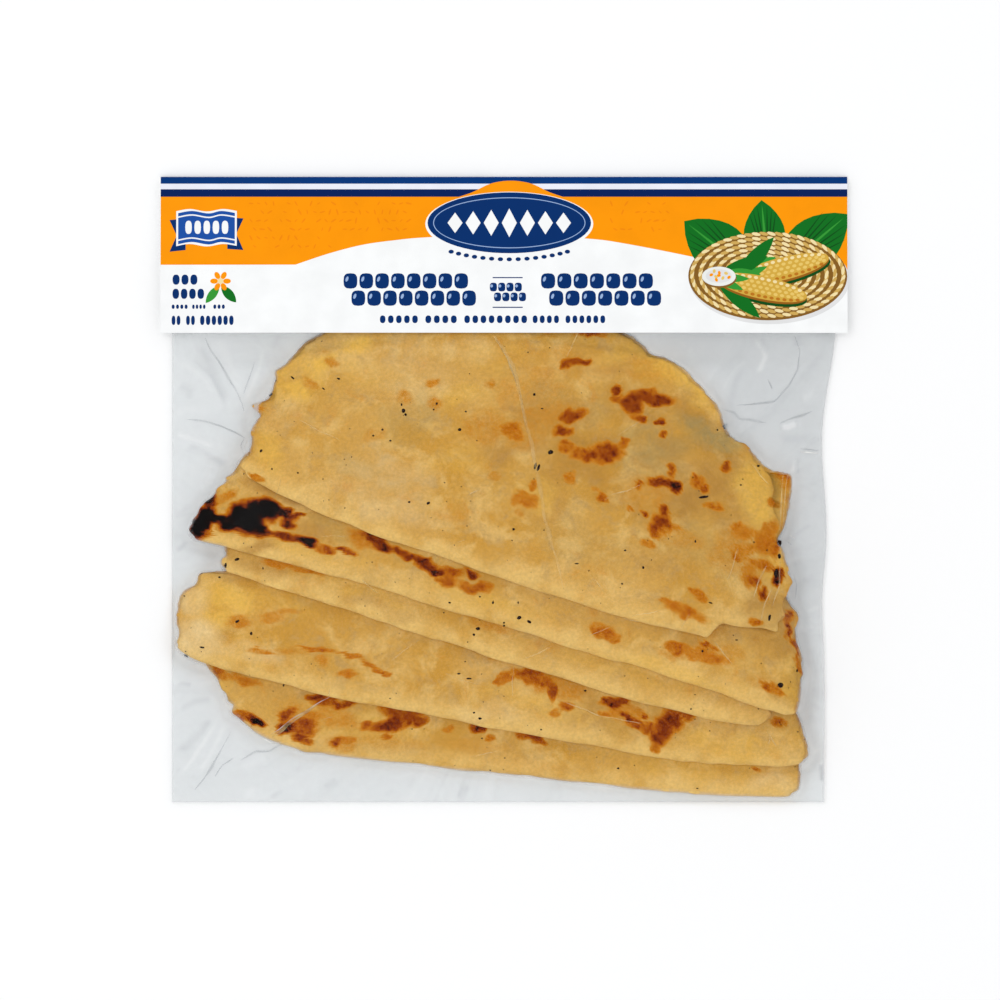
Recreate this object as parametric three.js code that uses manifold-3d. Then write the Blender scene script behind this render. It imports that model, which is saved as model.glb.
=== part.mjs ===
// A clear vacuum pouch of five folded sweet-corn flatbreads with cheese, hung in a folded header card.
// Millimetres, +Z up. The pack lies on its back: +Y points to the header card, +X to the right of the
// shown side, and the origin is the middle of the base.
import * as THREE from "three";
import { mergeVertices } from "three/addons/utils/BufferGeometryUtils.js";
import Module from "manifold-3d";

const wasm = await Module();
wasm.setup();

// Driving sizes
const PACK_WIDTH = 247;
const PACK_LENGTH = 225;
const LAYER = 5.6; // one folded flatbread with its share of film
const DROOP = 22; // how far out from a rim the layer above takes to sink by one layer

// The flat welded margin of the pouch
const MARGIN_BASE = 0.9;
const MARGIN_THICKNESS = 0.6;
const POUCH_LEFT = -119.5;
const POUCH_TOP = 110.4;
const POUCH_RIGHT_EDGE = [
  [119.6, POUCH_TOP],
  [119.2, 56],
  [114.5, 21],
  [116, -18],
  [114.5, -40],
  [115.2, -62],
  [115.2, -PACK_LENGTH / 2],
];

// The header card, one sheet folded over the top of the pouch
const CARD_THICKNESS = 0.45;
const FLAP_LENGTH = 56.2;
const CARD_GAP = 0.35;
const FLAP_RISE = 6.3; // how far the front flap climbs to pass over the top flatbread
const CLIMB_START = 108;
const CLIMB_END = 57;
const CLIMB_MIDDLE = -6;
const CLIMB_HALF_WIDTH = 62;
const CLIMB_FALL = 50;
const CLIMB_SIDE_SHARE = 0.35;

// The flatbreads from the bottom of the pile to the top. Each is a half-moon in its own frame: the fold
// runs along a from -left to right, and the round rim reaches height along b. square is the exponent of
// the rim's superellipse, bow how far the fold bulges, and corner how round the fold's ends are. notch is
// a bite out of the fold, and leaf where the lower leaf shows past the upper one, as angles and a size.
// bays are where the rim runs out of true: the angle, the spread to each side, and how far out.
const FLATBREADS = [
  {
    x: -1.5, y: -98.3, turn: -6.6, left: 112, right: 108, height: 90,
    squareLeft: 2, squareRight: 2, bow: 4, skew: -0.2, cornerLeft: 46, cornerRight: 6, phase: 0.4,
    bays: [[166.5, 2.6, 7]],
  },
  {
    x: -3.6, y: -79, turn: -9.8, left: 120.6, right: 114.5, height: 90,
    squareLeft: 1.75, squareRight: 1.5, bow: 6.4, skew: 0.35, cornerLeft: 15, cornerRight: 5, phase: 1.9,
    bays: [[162.2, 1.4, -3.4], [165.2, 1.5, 2.4], [169.7, 2.4, 2.9], [176.3, 1.8, -2.4]],
  },
  {
    x: -2.9, y: -56.9, turn: -15.8, left: 103.7, right: 101.2, height: 88,
    squareLeft: 2, squareRight: 2, bow: 3.4, skew: 1, cornerLeft: 4, cornerRight: 4, phase: 3.1,
  },
  {
    x: -4.1, y: -50.4, turn: -16.6, left: 115.2, right: 112.8, height: 90,
    squareLeft: 1.8, squareRight: 1.9, bow: -2.4, skew: -0.2, cornerLeft: 5, cornerRight: 5, phase: 4.4,
    bays: [[166.5, 2, -2], [170.6, 1.6, -1.2], [19.6, 2.5, 1.9], [10.5, 3, 1]],
  },
  {
    x: 2.5, y: -24.3, turn: -17.5, left: 102.6, right: 99.7, height: 90,
    squareLeft: 2.63, squareRight: 2, bow: 8, skew: 0.2, cornerLeft: 5, cornerRight: 5, phase: 5.2,
    notchAt: 77, notchWidth: 2.5, notchDepth: 5.5,
    leaf: { from: 20, peak: 33.5, to: 36.5, size: 6.3 },
    bays: [
      [73, 3.5, -2.1], [47.5, 4.6, -3.8], [34.5, 4, 2.4], [21, 2.6, -1.7], [12.8, 2.4, 1.4],
      [147.5, 2.5, -1.5], [159, 2, 1.2], [174.7, 2, -1.2],
    ],
  },
];
const STAR_CENTRE = 0.42; // height share of the point that an outline is seen from
const OUTLINE_POINTS = 84;
const RIPPLE = [
  [5, 0.3],
  [9, 0.25],
  [17, 0.2],
];

// How the pouch wraps a flatbread's rim: offset outwards and share of the layer's thickness
const WRAP = [
  [1.8, 0],
  [1.1, 0.35],
  [-0.4, 0.8],
  [-2.4, 1],
];
const TOP_RINGS = [0.84, 0.68, 0.52, 0.36, 0.18];
const UNDERSIDE_INSET = 0.4;

const step = (low, high, value) => THREE.MathUtils.smoothstep(value, low, high);

// A point's distance inside a flatbread's outline, negative outside, for its upper or its lower leaf
function depthInside(bread, x, y, lowerLeaf = false) {
  const turn = THREE.MathUtils.degToRad(bread.turn);
  const a = (x - bread.x) * Math.cos(turn) + (y - bread.y) * Math.sin(turn);
  const b = (y - bread.y) * Math.cos(turn) - (x - bread.x) * Math.sin(turn);
  const onLeft = a < 0;
  const reach = onLeft ? bread.left : bread.right;
  const square = onLeft ? bread.squareLeft : bread.squareRight;
  const along = Math.min(Math.abs(a) / reach, 1);
  let fold = -bread.bow * (1 - along ** 4) * (1 + (bread.skew * a) / reach);
  if (bread.notchAt)
    fold += bread.notchDepth * step(bread.notchAt - bread.notchWidth, bread.notchAt + bread.notchWidth, a);
  const foldGap = b - fold;
  const up = Math.max(b, 0);
  const radius = Math.max(Math.hypot(a, up), 1e-6);
  const share = ((Math.abs(a) / reach) ** square + (up / bread.height) ** square) ** (1 / square);
  const angle = Math.atan2(up, a);
  const ripple = RIPPLE.reduce(
    (sum, [waves, size]) => sum + size * Math.sin(waves * angle + bread.phase * waves),
    0,
  );
  const degrees = THREE.MathUtils.radToDeg(angle);
  let rimGap = radius / Math.max(share, 1e-6) - radius + ripple;
  for (const [at, spread, out] of bread.bays ?? [])
    rimGap += out * Math.exp(-(((degrees - at) / spread) ** 2));
  if (lowerLeaf && bread.leaf) {
    const { from, peak, to, size } = bread.leaf;
    rimGap += size * step(from, peak, degrees) * (1 - step(peak, to, degrees));
  }
  const corner = onLeft ? bread.cornerLeft : bread.cornerRight;
  const near = Math.max(corner - Math.abs(foldGap - rimGap), 0) / corner;
  return Math.min(foldGap, rimGap) - (near * near * corner) / 4;
}

function starCentre(bread) {
  const turn = THREE.MathUtils.degToRad(bread.turn);
  const up = bread.height * STAR_CENTRE;
  return [bread.x - up * Math.sin(turn), bread.y + up * Math.cos(turn)];
}

// The outline of a flatbread grown by offset, as points around its centre
function outline(bread, offset, lowerLeaf = false) {
  const [cx, cy] = starCentre(bread);
  return Array.from({ length: OUTLINE_POINTS }, (_, i) => {
    const angle = (2 * Math.PI * i) / OUTLINE_POINTS;
    let inside = 0;
    let outside = 2 * Math.max(bread.left, bread.right);
    for (let k = 0; k < 40; k++) {
      const radius = (inside + outside) / 2;
      const x = cx + radius * Math.cos(angle);
      const y = cy + radius * Math.sin(angle);
      if (depthInside(bread, x, y, lowerLeaf) > -offset) inside = radius;
      else outside = radius;
    }
    return [cx + inside * Math.cos(angle), cy + inside * Math.sin(angle)];
  });
}

// Height of the pile under layer number index at a point: each layer below lifts it by one thickness
function heightUnder(index, x, y) {
  return FLATBREADS.slice(0, index).reduce(
    (sum, below) => sum + LAYER * step(-DROOP, 0.5, depthInside(below, x, y)),
    0,
  );
}

function toManifold(geometry) {
  geometry.deleteAttribute("normal");
  geometry.deleteAttribute("uv");
  const merged = mergeVertices(geometry, 1e-4);
  return new wasm.Manifold(
    new wasm.Mesh({
      numProp: 3,
      vertProperties: new Float32Array(merged.attributes.position.array),
      triVerts: new Uint32Array(merged.index.array),
    }),
  );
}

function toGeometry(solid) {
  const mesh = solid.getMesh();
  const positions = new Float32Array(mesh.numVert * 3);
  for (let i = 0; i < mesh.numVert; i++)
    for (let k = 0; k < 3; k++) positions[i * 3 + k] = mesh.vertProperties[i * mesh.numProp + k];
  const geometry = new THREE.BufferGeometry();
  geometry.setAttribute("position", new THREE.BufferAttribute(positions, 3));
  geometry.setIndex(new THREE.BufferAttribute(new Uint32Array(mesh.triVerts), 1));
  geometry.computeVertexNormals();
  return geometry;
}

// A closed skin over rings of equal length, from the lowest to the highest, with a fan at each end
function ringSkin(rings, bottomCentre, topCentre) {
  const count = rings[0].length;
  const positions = [bottomCentre, ...rings.flat(), topCentre];
  const index = [];
  const at = (ring, i) => 1 + ring * count + (i % count);
  const last = positions.length - 1;
  for (let i = 0; i < count; i++) {
    index.push(0, at(0, i + 1), at(0, i));
    for (let ring = 0; ring + 1 < rings.length; ring++) {
      index.push(at(ring, i), at(ring, i + 1), at(ring + 1, i + 1));
      index.push(at(ring, i), at(ring + 1, i + 1), at(ring + 1, i));
    }
    index.push(last, at(rings.length - 1, i), at(rings.length - 1, i + 1));
  }
  const geometry = new THREE.BufferGeometry();
  geometry.setAttribute("position", new THREE.Float32BufferAttribute(positions.flat(), 3));
  geometry.setIndex(index);
  return geometry;
}

// One wrapped flatbread: a flat underside, a rounded wall and a top that drapes over the layers below
function wrappedFlatbread(bread, index) {
  const [cx, cy] = starCentre(bread);
  const upper = (x, y) => heightUnder(index, x, y) + LAYER;
  const underside = outline(bread, -UNDERSIDE_INSET, true);
  const rings = [underside.map(([x, y]) => [x, y, 0])];
  for (const [offset, share] of WRAP)
    rings.push(
      outline(bread, offset, share < 0.5).map(([x, y]) => [
        x,
        y,
        heightUnder(index, x, y) + LAYER * share,
      ]),
    );
  const shoulder = outline(bread, WRAP.at(-1)[0]);
  for (const scale of TOP_RINGS)
    rings.push(
      shoulder.map(([x, y]) => {
        const px = cx + (x - cx) * scale;
        const py = cy + (y - cy) * scale;
        return [px, py, upper(px, py)];
      }),
    );
  return toManifold(ringSkin(rings, [cx, cy, 0], [cx, cy, upper(cx, cy)]));
}

function marginSheet() {
  const edge = new THREE.SplineCurve(POUCH_RIGHT_EDGE.map(([x, y]) => new THREE.Vector2(x, y)));
  const sheet = new THREE.Shape([
    new THREE.Vector2(POUCH_LEFT, -PACK_LENGTH / 2),
    ...edge.getPoints(30).reverse(),
    new THREE.Vector2(POUCH_LEFT, POUCH_TOP),
  ]);
  const geometry = new THREE.ExtrudeGeometry(sheet, { depth: MARGIN_THICKNESS, bevelEnabled: false });
  geometry.translate(0, 0, MARGIN_BASE);
  return toManifold(geometry);
}

// The room that the header card's back flap takes under the pouch
function cardRecess() {
  const edge = PACK_LENGTH / 2 - FLAP_LENGTH - CARD_GAP;
  const length = PACK_LENGTH / 2 - edge;
  const height = 2 * (CARD_THICKNESS + CARD_GAP);
  const geometry = new THREE.BoxGeometry(PACK_WIDTH * 1.1, length, height);
  geometry.translate(0, edge + length / 2, 0);
  return toManifold(geometry.toNonIndexed());
}

function pouch() {
  let body = marginSheet();
  FLATBREADS.forEach((bread, index) => {
    body = body.add(wrappedFlatbread(bread, index));
  });
  return toGeometry(body.subtract(cardRecess()));
}

// Height of the front flap's inner face: level at the fold, then up over the top flatbread
function flapHeight(x, y) {
  const level = MARGIN_BASE + MARGIN_THICKNESS + CARD_GAP;
  const past = Math.max(Math.abs(x - CLIMB_MIDDLE) - CLIMB_HALF_WIDTH, 0);
  const share = THREE.MathUtils.lerp(1, CLIMB_SIDE_SHARE, step(0, CLIMB_FALL, past));
  return level + FLAP_RISE * share * step(0, CLIMB_START - CLIMB_END, CLIMB_START - y);
}

// The card's section at x, as pairs of an outer and an inner point in Y and Z, from the back flap's
// edge round the fold to the front flap's edge
function cardSection(x) {
  const low = CARD_THICKNESS / 2;
  const high = MARGIN_BASE + MARGIN_THICKNESS + CARD_GAP + CARD_THICKNESS / 2;
  const bend = (high - low) / 2;
  const bendY = PACK_LENGTH / 2 - bend - CARD_THICKNESS / 2;
  const edgeY = PACK_LENGTH / 2 - FLAP_LENGTH;
  const line = [new THREE.Vector2(edgeY, low)];
  for (const share of [0.35, 0.7]) line.push(new THREE.Vector2(edgeY + (bendY - edgeY) * share, low));
  for (let i = 0; i <= 6; i++) {
    const angle = -Math.PI / 2 + (Math.PI * i) / 6;
    line.push(
      new THREE.Vector2(bendY + bend * Math.cos(angle), low + bend + bend * Math.sin(angle)),
    );
  }
  const flapSteps = 16;
  for (let i = 1; i <= flapSteps; i++) {
    const y = bendY + ((edgeY - bendY) * i) / flapSteps;
    line.push(new THREE.Vector2(y, flapHeight(x, y) + CARD_THICKNESS / 2));
  }
  return line.map((point, i) => {
    const before = line[Math.max(i - 1, 0)];
    const after = line[Math.min(i + 1, line.length - 1)];
    const along = after.clone().sub(before).normalize();
    const out = new THREE.Vector2(along.y, -along.x).multiplyScalar(CARD_THICKNESS / 2);
    return [point.clone().add(out), point.clone().sub(out)];
  });
}

function headerCard() {
  const columns = 26;
  const positions = [];
  const index = [];
  for (let i = 0; i <= columns; i++) {
    const x = -PACK_WIDTH / 2 + (PACK_WIDTH * i) / columns;
    for (const [outer, inner] of cardSection(x))
      positions.push(x, outer.x, outer.y, x, inner.x, inner.y);
  }
  const rows = positions.length / 6 / (columns + 1);
  const outer = (i, j) => 2 * (i * rows + j);
  const inner = (i, j) => outer(i, j) + 1;
  const quad = (p, q, r, s) => index.push(p, q, r, p, r, s);
  for (let i = 0; i < columns; i++) {
    for (let j = 0; j + 1 < rows; j++) {
      quad(outer(i, j), outer(i, j + 1), outer(i + 1, j + 1), outer(i + 1, j));
      quad(inner(i, j), inner(i + 1, j), inner(i + 1, j + 1), inner(i, j + 1));
    }
    quad(outer(i, 0), outer(i + 1, 0), inner(i + 1, 0), inner(i, 0));
    quad(outer(i + 1, rows - 1), outer(i, rows - 1), inner(i, rows - 1), inner(i + 1, rows - 1));
  }
  for (let j = 0; j + 1 < rows; j++) {
    quad(outer(0, j + 1), outer(0, j), inner(0, j), inner(0, j + 1));
    quad(outer(columns, j), outer(columns, j + 1), inner(columns, j + 1), inner(columns, j));
  }
  const geometry = new THREE.BufferGeometry();
  geometry.setAttribute("position", new THREE.Float32BufferAttribute(positions, 3));
  geometry.setIndex(index);
  geometry.computeVertexNormals();
  return geometry;
}

const film = new THREE.MeshStandardMaterial({ color: 0xd9b069, roughness: 0.3, metalness: 0 });
const card = new THREE.MeshStandardMaterial({ color: 0xf6f6f6, roughness: 0.45, metalness: 0 });

const pouchMesh = new THREE.Mesh(pouch(), film);
pouchMesh.name = "pouch";

const cardMesh = new THREE.Mesh(headerCard(), card);
cardMesh.name = "header_card";

const pack = new THREE.Group();
pack.add(pouchMesh, cardMesh);

export default pack;
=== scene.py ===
import math
import random

import bpy
import numpy as np
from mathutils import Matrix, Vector
from mathutils.geometry import delaunay_2d_cdt


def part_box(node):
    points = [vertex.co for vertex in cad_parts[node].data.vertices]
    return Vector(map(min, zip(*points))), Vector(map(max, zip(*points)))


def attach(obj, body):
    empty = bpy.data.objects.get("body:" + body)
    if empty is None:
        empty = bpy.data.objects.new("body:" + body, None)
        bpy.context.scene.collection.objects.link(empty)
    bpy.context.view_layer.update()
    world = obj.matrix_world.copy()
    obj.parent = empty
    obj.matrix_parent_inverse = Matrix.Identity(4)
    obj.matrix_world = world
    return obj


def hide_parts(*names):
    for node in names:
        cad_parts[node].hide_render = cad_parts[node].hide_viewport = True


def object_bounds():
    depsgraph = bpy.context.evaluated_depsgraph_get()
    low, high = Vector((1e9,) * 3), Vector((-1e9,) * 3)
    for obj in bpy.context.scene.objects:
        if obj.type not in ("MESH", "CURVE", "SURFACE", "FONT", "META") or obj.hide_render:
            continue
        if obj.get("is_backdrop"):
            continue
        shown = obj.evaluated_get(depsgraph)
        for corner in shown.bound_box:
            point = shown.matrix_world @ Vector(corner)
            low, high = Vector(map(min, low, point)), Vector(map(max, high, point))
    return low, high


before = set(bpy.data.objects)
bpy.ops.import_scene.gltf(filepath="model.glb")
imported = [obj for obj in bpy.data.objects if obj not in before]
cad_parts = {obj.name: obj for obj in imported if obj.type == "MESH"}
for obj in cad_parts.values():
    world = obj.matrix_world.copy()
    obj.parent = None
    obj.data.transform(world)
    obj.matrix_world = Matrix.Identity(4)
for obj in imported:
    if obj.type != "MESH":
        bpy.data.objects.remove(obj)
cad_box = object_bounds()

MM = 0.001

# Sizes shared with the CAD model
CARD_LOW, CARD_HIGH = (Vector(corner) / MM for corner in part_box("header_card"))
PACK_WIDTH = CARD_HIGH.x - CARD_LOW.x
PACK_LENGTH = 2 * CARD_HIGH.y
CARD_EDGE = CARD_LOW.y
FLAP_LENGTH = CARD_HIGH.y - CARD_LOW.y
DROOP = 22  # over which a layer sinks beside the one below
MARGIN_BASE = 0.9  # height of the pouch's flat margin
MARGIN_THICKNESS = 0.6  # its thickness in the CAD model
POUCH_LEFT = -119.5
POUCH_TOP = 110.4
# X and y of the pouch's cut right edge, from the top down
POUCH_RIGHT_EDGE = [
    (119.6, POUCH_TOP),
    (119.2, 56),
    (114.5, 21),
    (116, -18),
    (114.5, -40),
    (115.2, -62),
    (115.2, -PACK_LENGTH / 2),
]
CARD_THICKNESS = 0.45
CARD_GAP = 0.35  # between the card and the pouch
CARD_LIFTS = (-8, -0.5)  # from where to where beside the card's edge it lifts what lies over it
FLAP_RISE = 6.3  # how far the front flap climbs to pass over the top flatbread
CLIMB_START = 108  # y where the flap starts to climb
CLIMB_END = 57  # and where it is at its highest
CLIMB_MIDDLE = -6  # x of the middle of the stretch that climbs in full
CLIMB_HALF_WIDTH = 62
CLIMB_FALL = 50  # over which the climb falls off to each side
CLIMB_SIDE_SHARE = 0.35  # of the climb, left at the sides

# The flatbreads from the bottom of the pile to the top, as in the CAD model. Each is a half-moon in its
# own frame: the fold runs along a from -left to right, and the round rim reaches height along b. square
# is the exponent of the rim's superellipse, bow how far the fold bulges, and corner how round the fold's
# ends are. notch is a bite out of the fold, and leaf where the lower leaf shows past the upper one, as
# angles and a size. bays are where the rim runs out of true: angle, spread to each side, and how far out.
FLATBREADS = [
    dict(
        x=-1.5, y=-98.3, turn=-6.6, left=112, right=108, height=90, square_left=2, square_right=2,
        bow=4, skew=-0.2, corner_left=46, corner_right=6, phase=0.4, bays=[(166.5, 2.6, 7)],
    ),
    dict(
        x=-3.6, y=-79, turn=-9.8, left=120.6, right=114.5, height=90, square_left=1.75,
        square_right=1.5, bow=6.4, skew=0.35, corner_left=15, corner_right=5, phase=1.9,
        bays=[(162.2, 1.4, -3.4), (165.2, 1.5, 2.4), (169.7, 2.4, 2.9), (176.3, 1.8, -2.4)],
    ),
    dict(
        x=-2.9, y=-56.9, turn=-15.8, left=103.7, right=101.2, height=88, square_left=2,
        square_right=2, bow=3.4, skew=1, corner_left=4, corner_right=4, phase=3.1,
    ),
    dict(
        x=-4.1, y=-50.4, turn=-16.6, left=115.2, right=112.8, height=90, square_left=1.8,
        square_right=1.9, bow=-2.4, skew=-0.2, corner_left=5, corner_right=5, phase=4.4,
        bays=[(166.5, 2, -2), (170.6, 1.6, -1.2), (19.6, 2.5, 1.9), (10.5, 3, 1)],
    ),
    dict(
        x=2.5, y=-24.3, turn=-17.5, left=102.6, right=99.7, height=90, square_left=2.63,
        square_right=2, bow=8, skew=0.2, corner_left=5, corner_right=5, phase=5.2,
        notch=dict(at=77, width=2.5, depth=5.5), leaf=dict(start=20, peak=33.5, end=36.5, size=6.3),
        bays=[
            (73, 3.5, -2.1), (47.5, 4.6, -3.8), (34.5, 4, 2.4), (21, 2.6, -1.7), (12.8, 2.4, 1.4),
            (147.5, 2.5, -1.5), (159, 2, 1.2), (174.7, 2, -1.2),
        ],
    ),
]
RIPPLE = [(5, 0.3), (9, 0.25), (17, 0.2)]  # the rims' waves: how many and how high
STAR_CENTRE = 0.42  # height share of the point that an outline is seen from
FARTHEST = 260  # an outline is nearer than this to the point that it is seen from
HALVINGS = 36  # steps of the search for an outline
RAYS = 1441  # directions in which an outline is measured
TINY = 1e-6

# The dough itself
PILE_LAYER = 5.6  # how far each flatbread lifts the ones above it
DOUGH = 5.0  # a flatbread's thickness
DOUGH_LIFT = 0.25  # how far the dough lies over what is under it
FILM_LIFT = 0.3  # how far the film lies over the dough
FULL_LIFT = 0.5  # how far inside its edge a flatbread lifts the ones above it in full
SIDES = 700  # points around a flatbread
TOP_RINGS = 60  # steps from its edge to the middle of its top
UNDER_RINGS = [0.3, 0.55, 0.75, 0.9]  # sizes of its underside's rings, as shares of its outline
FOLD_REACH = 3  # how far in from its edge the fold is round
RIM_REACH = 2.5  # and the rim
FOLD_THINNER = 1.7  # how much thinner the dough is at the fold
FOLD_FADE = 22  # and how far in from it that ends
RIM_THINNER = 1.6
RIM_FADE = 14

# Uneven forms, each a sum of noises: height, size and seed
DOUGH_WAVES = [(0.25, 21, 11), (0.1, 6.5, 21)]
LEAF_RETREAT = [(0.8, 8, 91), (0.4, 3, 95)]
RAGGED_RIM = [(0.45, 4.2, 101), (0.4, 1.8, 105)]
WAVY_FOLD = [(0.55, 13, 111), (0.2, 5, 115)]
MARKS_WAVER_X = [(0.9, 3.4, 31), (0.5, 1.7, 41)]
MARKS_WAVER_Y = [(0.9, 3.4, 51), (0.5, 1.7, 61)]
TONES_WAVER_X = [(3, 9, 131)]
TONES_WAVER_Y = [(3, 9, 141)]
UNDERSIDE_MARKS = [(1, 17, 71), (0.5, 6, 81)]
MARGIN_SWELL = [(0.35, 24, 5)]
FILM_GRAIN = [(0.05, 4, 8)]
CREASE_WAVER_X = [(0.25, 5, 3)]
CREASE_WAVER_Y = [(0.25, 5, 4)]
CREASE_UNEVEN = [(0.35, 4, 9)]
NOISE_TABLE = 97  # numbers along each side of a noise's table
NOISE_SHIFT_X = 41.3  # where in the table the origin lies
NOISE_SHIFT_Y = 37.9


def step(low, high, value):
    """A smooth step from 0 at low to 1 at high."""
    share = np.clip((value - low) / (high - low), 0, 1)
    return share * share * (3 - 2 * share)


def noise(x, y, size, seed):
    """Smooth noise from -1 to 1 over the plane, with features about size across."""
    table = np.random.default_rng(seed).uniform(-1, 1, (NOISE_TABLE, NOISE_TABLE))
    u, v = np.asarray(x) / size + NOISE_SHIFT_X, np.asarray(y) / size + NOISE_SHIFT_Y
    i, j = np.floor(u).astype(int), np.floor(v).astype(int)
    fu, fv = u - i, v - j
    su, sv = fu**3 * (fu * (fu * 6 - 15) + 10), fv**3 * (fv * (fv * 6 - 15) + 10)

    def corner(di, dj):
        return table[(i + di) % NOISE_TABLE, (j + dj) % NOISE_TABLE]

    low = corner(0, 0) * (1 - su) + corner(1, 0) * su
    high = corner(0, 1) * (1 - su) + corner(1, 1) * su
    return low * (1 - sv) + high * sv


def noises(x, y, layers, index=0):
    """A sum of noises, other ones for each flatbread."""
    return sum(height * noise(x, y, size, seed + index) for height, size, seed in layers)


def turned(a, b, degrees):
    """A vector turned by an angle."""
    angle = math.radians(degrees)
    return a * math.cos(angle) - b * math.sin(angle), a * math.sin(angle) + b * math.cos(angle)


# Shapes of the pile


def local(bread, x, y):
    """A point in a flatbread's own frame: a along the fold, b away from it."""
    return turned(x - bread["x"], y - bread["y"], -bread["turn"])


def gaps(bread, x, y, lower_leaf=False):
    """Distances inside the fold and inside the round rim, with the corner's size."""
    a, b = local(bread, x, y)
    left = a < 0
    reach = np.where(left, bread["left"], bread["right"])
    square = np.where(left, bread["square_left"], bread["square_right"])
    along = np.minimum(np.abs(a) / reach, 1)
    fold = -bread["bow"] * (1 - along**4) * (1 + bread["skew"] * a / reach)
    if "notch" in bread:
        notch = bread["notch"]
        fold = fold + notch["depth"] * step(notch["at"] - notch["width"], notch["at"] + notch["width"], a)
    up = np.maximum(b, 0)
    radius = np.maximum(np.hypot(a, up), TINY)
    share = ((np.abs(a) / reach) ** square + (up / bread["height"]) ** square) ** (1 / square)
    angle = np.arctan2(up, a)
    degrees = np.degrees(angle)
    rim = radius / np.maximum(share, TINY) - radius
    for waves, size in RIPPLE:
        rim = rim + size * np.sin(waves * angle + bread["phase"] * waves)
    for at, width, out in bread.get("bays", []):
        rim = rim + out * np.exp(-(((degrees - at) / width) ** 2))
    if lower_leaf and "leaf" in bread:
        leaf = bread["leaf"]
        rim = rim + leaf["size"] * step(leaf["start"], leaf["peak"], degrees) * (
            1 - step(leaf["peak"], leaf["end"], degrees)
        )
    return b - fold, rim, np.where(left, bread["corner_left"], bread["corner_right"])


def depth_inside(bread, x, y, lower_leaf=False):
    """Distance inside a flatbread's outline, with round corners where the fold and the rim meet."""
    fold, rim, corner = gaps(bread, x, y, lower_leaf)
    near = np.maximum(corner - np.abs(fold - rim), 0) / corner
    return np.minimum(fold, rim) - near * near * corner / 4


def torn(index, x, y, wider=0.0):
    """How far torn bits move a flatbread's edge inwards at each point."""
    inwards = np.zeros_like(x)
    for tear_x, tear_y, size, out in TEARS[index]:
        size = size + wider * max(out, 0)
        inwards = inwards - out * np.exp(-((x - tear_x) ** 2 + (y - tear_y) ** 2) / size**2)
    return inwards


def thinning(bread, x, y):
    """How much thinner a flatbread is towards its fold and its rim."""
    fold, rim, _ = gaps(bread, x, y)
    return np.maximum(
        FOLD_THINNER * (1 - step(0, FOLD_FADE, fold)), RIM_THINNER * (1 - step(0, RIM_FADE, rim))
    )


def height_under(index, x, y):
    """Height of the pile under a layer: each layer below lifts it by one thickness."""
    height = np.zeros_like(x)
    for below in FLATBREADS[:index]:
        lift = PILE_LAYER - thinning(below, x, y)
        height = height + lift * step(-DROOP, FULL_LIFT, depth_inside(below, x, y))
    return height


def card_room(y):
    """How far the header card's back flap lifts what lies over it."""
    return (CARD_THICKNESS + CARD_GAP) * step(*CARD_LIFTS, y - CARD_EDGE)


def dough_base(index, x, y):
    """Height of a flatbread's underside."""
    return height_under(index, x, y) + DOUGH_LIFT + card_room(y)


def relief(index, x, y):
    """How a flatbread's thickness differs from the plain one: thinner edges, and low waves."""
    return noises(x, y, DOUGH_WAVES, index) - thinning(FLATBREADS[index], x, y)


def layer_height(index, x, y, share=1.0, lift=0.0):
    """Height over the floor at a share of a flatbread's thickness, or of a skin that lies over it."""
    return dough_base(index, x, y) + share * (DOUGH + lift + relief(index, x, y))


def star_centre(bread):
    """The point inside a flatbread that its outline is seen from."""
    dx, dy = turned(0, bread["height"] * STAR_CENTRE, bread["turn"])
    return bread["x"] + dx, bread["y"] + dy


def outline(bread, angles, inset, lower_leaf=False):
    """Points of a flatbread's outline moved inwards, seen from its centre at the given angles."""
    cx, cy = star_centre(bread)
    inside, outside = np.zeros_like(angles), np.full_like(angles, FARTHEST)
    for _ in range(HALVINGS):
        radius = (inside + outside) / 2
        x, y = cx + radius * np.cos(angles), cy + radius * np.sin(angles)
        holds = depth_inside(bread, x, y, lower_leaf) > inset
        inside, outside = np.where(holds, radius, inside), np.where(holds, outside, radius)
    return cx + inside * np.cos(angles), cy + inside * np.sin(angles)


def even_angles(bread):
    """Angles that space an outline's points evenly along its length."""
    rays = np.linspace(0, 2 * math.pi, RAYS)
    x, y = outline(bread, rays, 0)
    length = np.concatenate([[0], np.cumsum(np.hypot(np.diff(x), np.diff(y)))])
    return np.interp(np.arange(SIDES) / SIDES * length[-1], length, rays)


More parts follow.
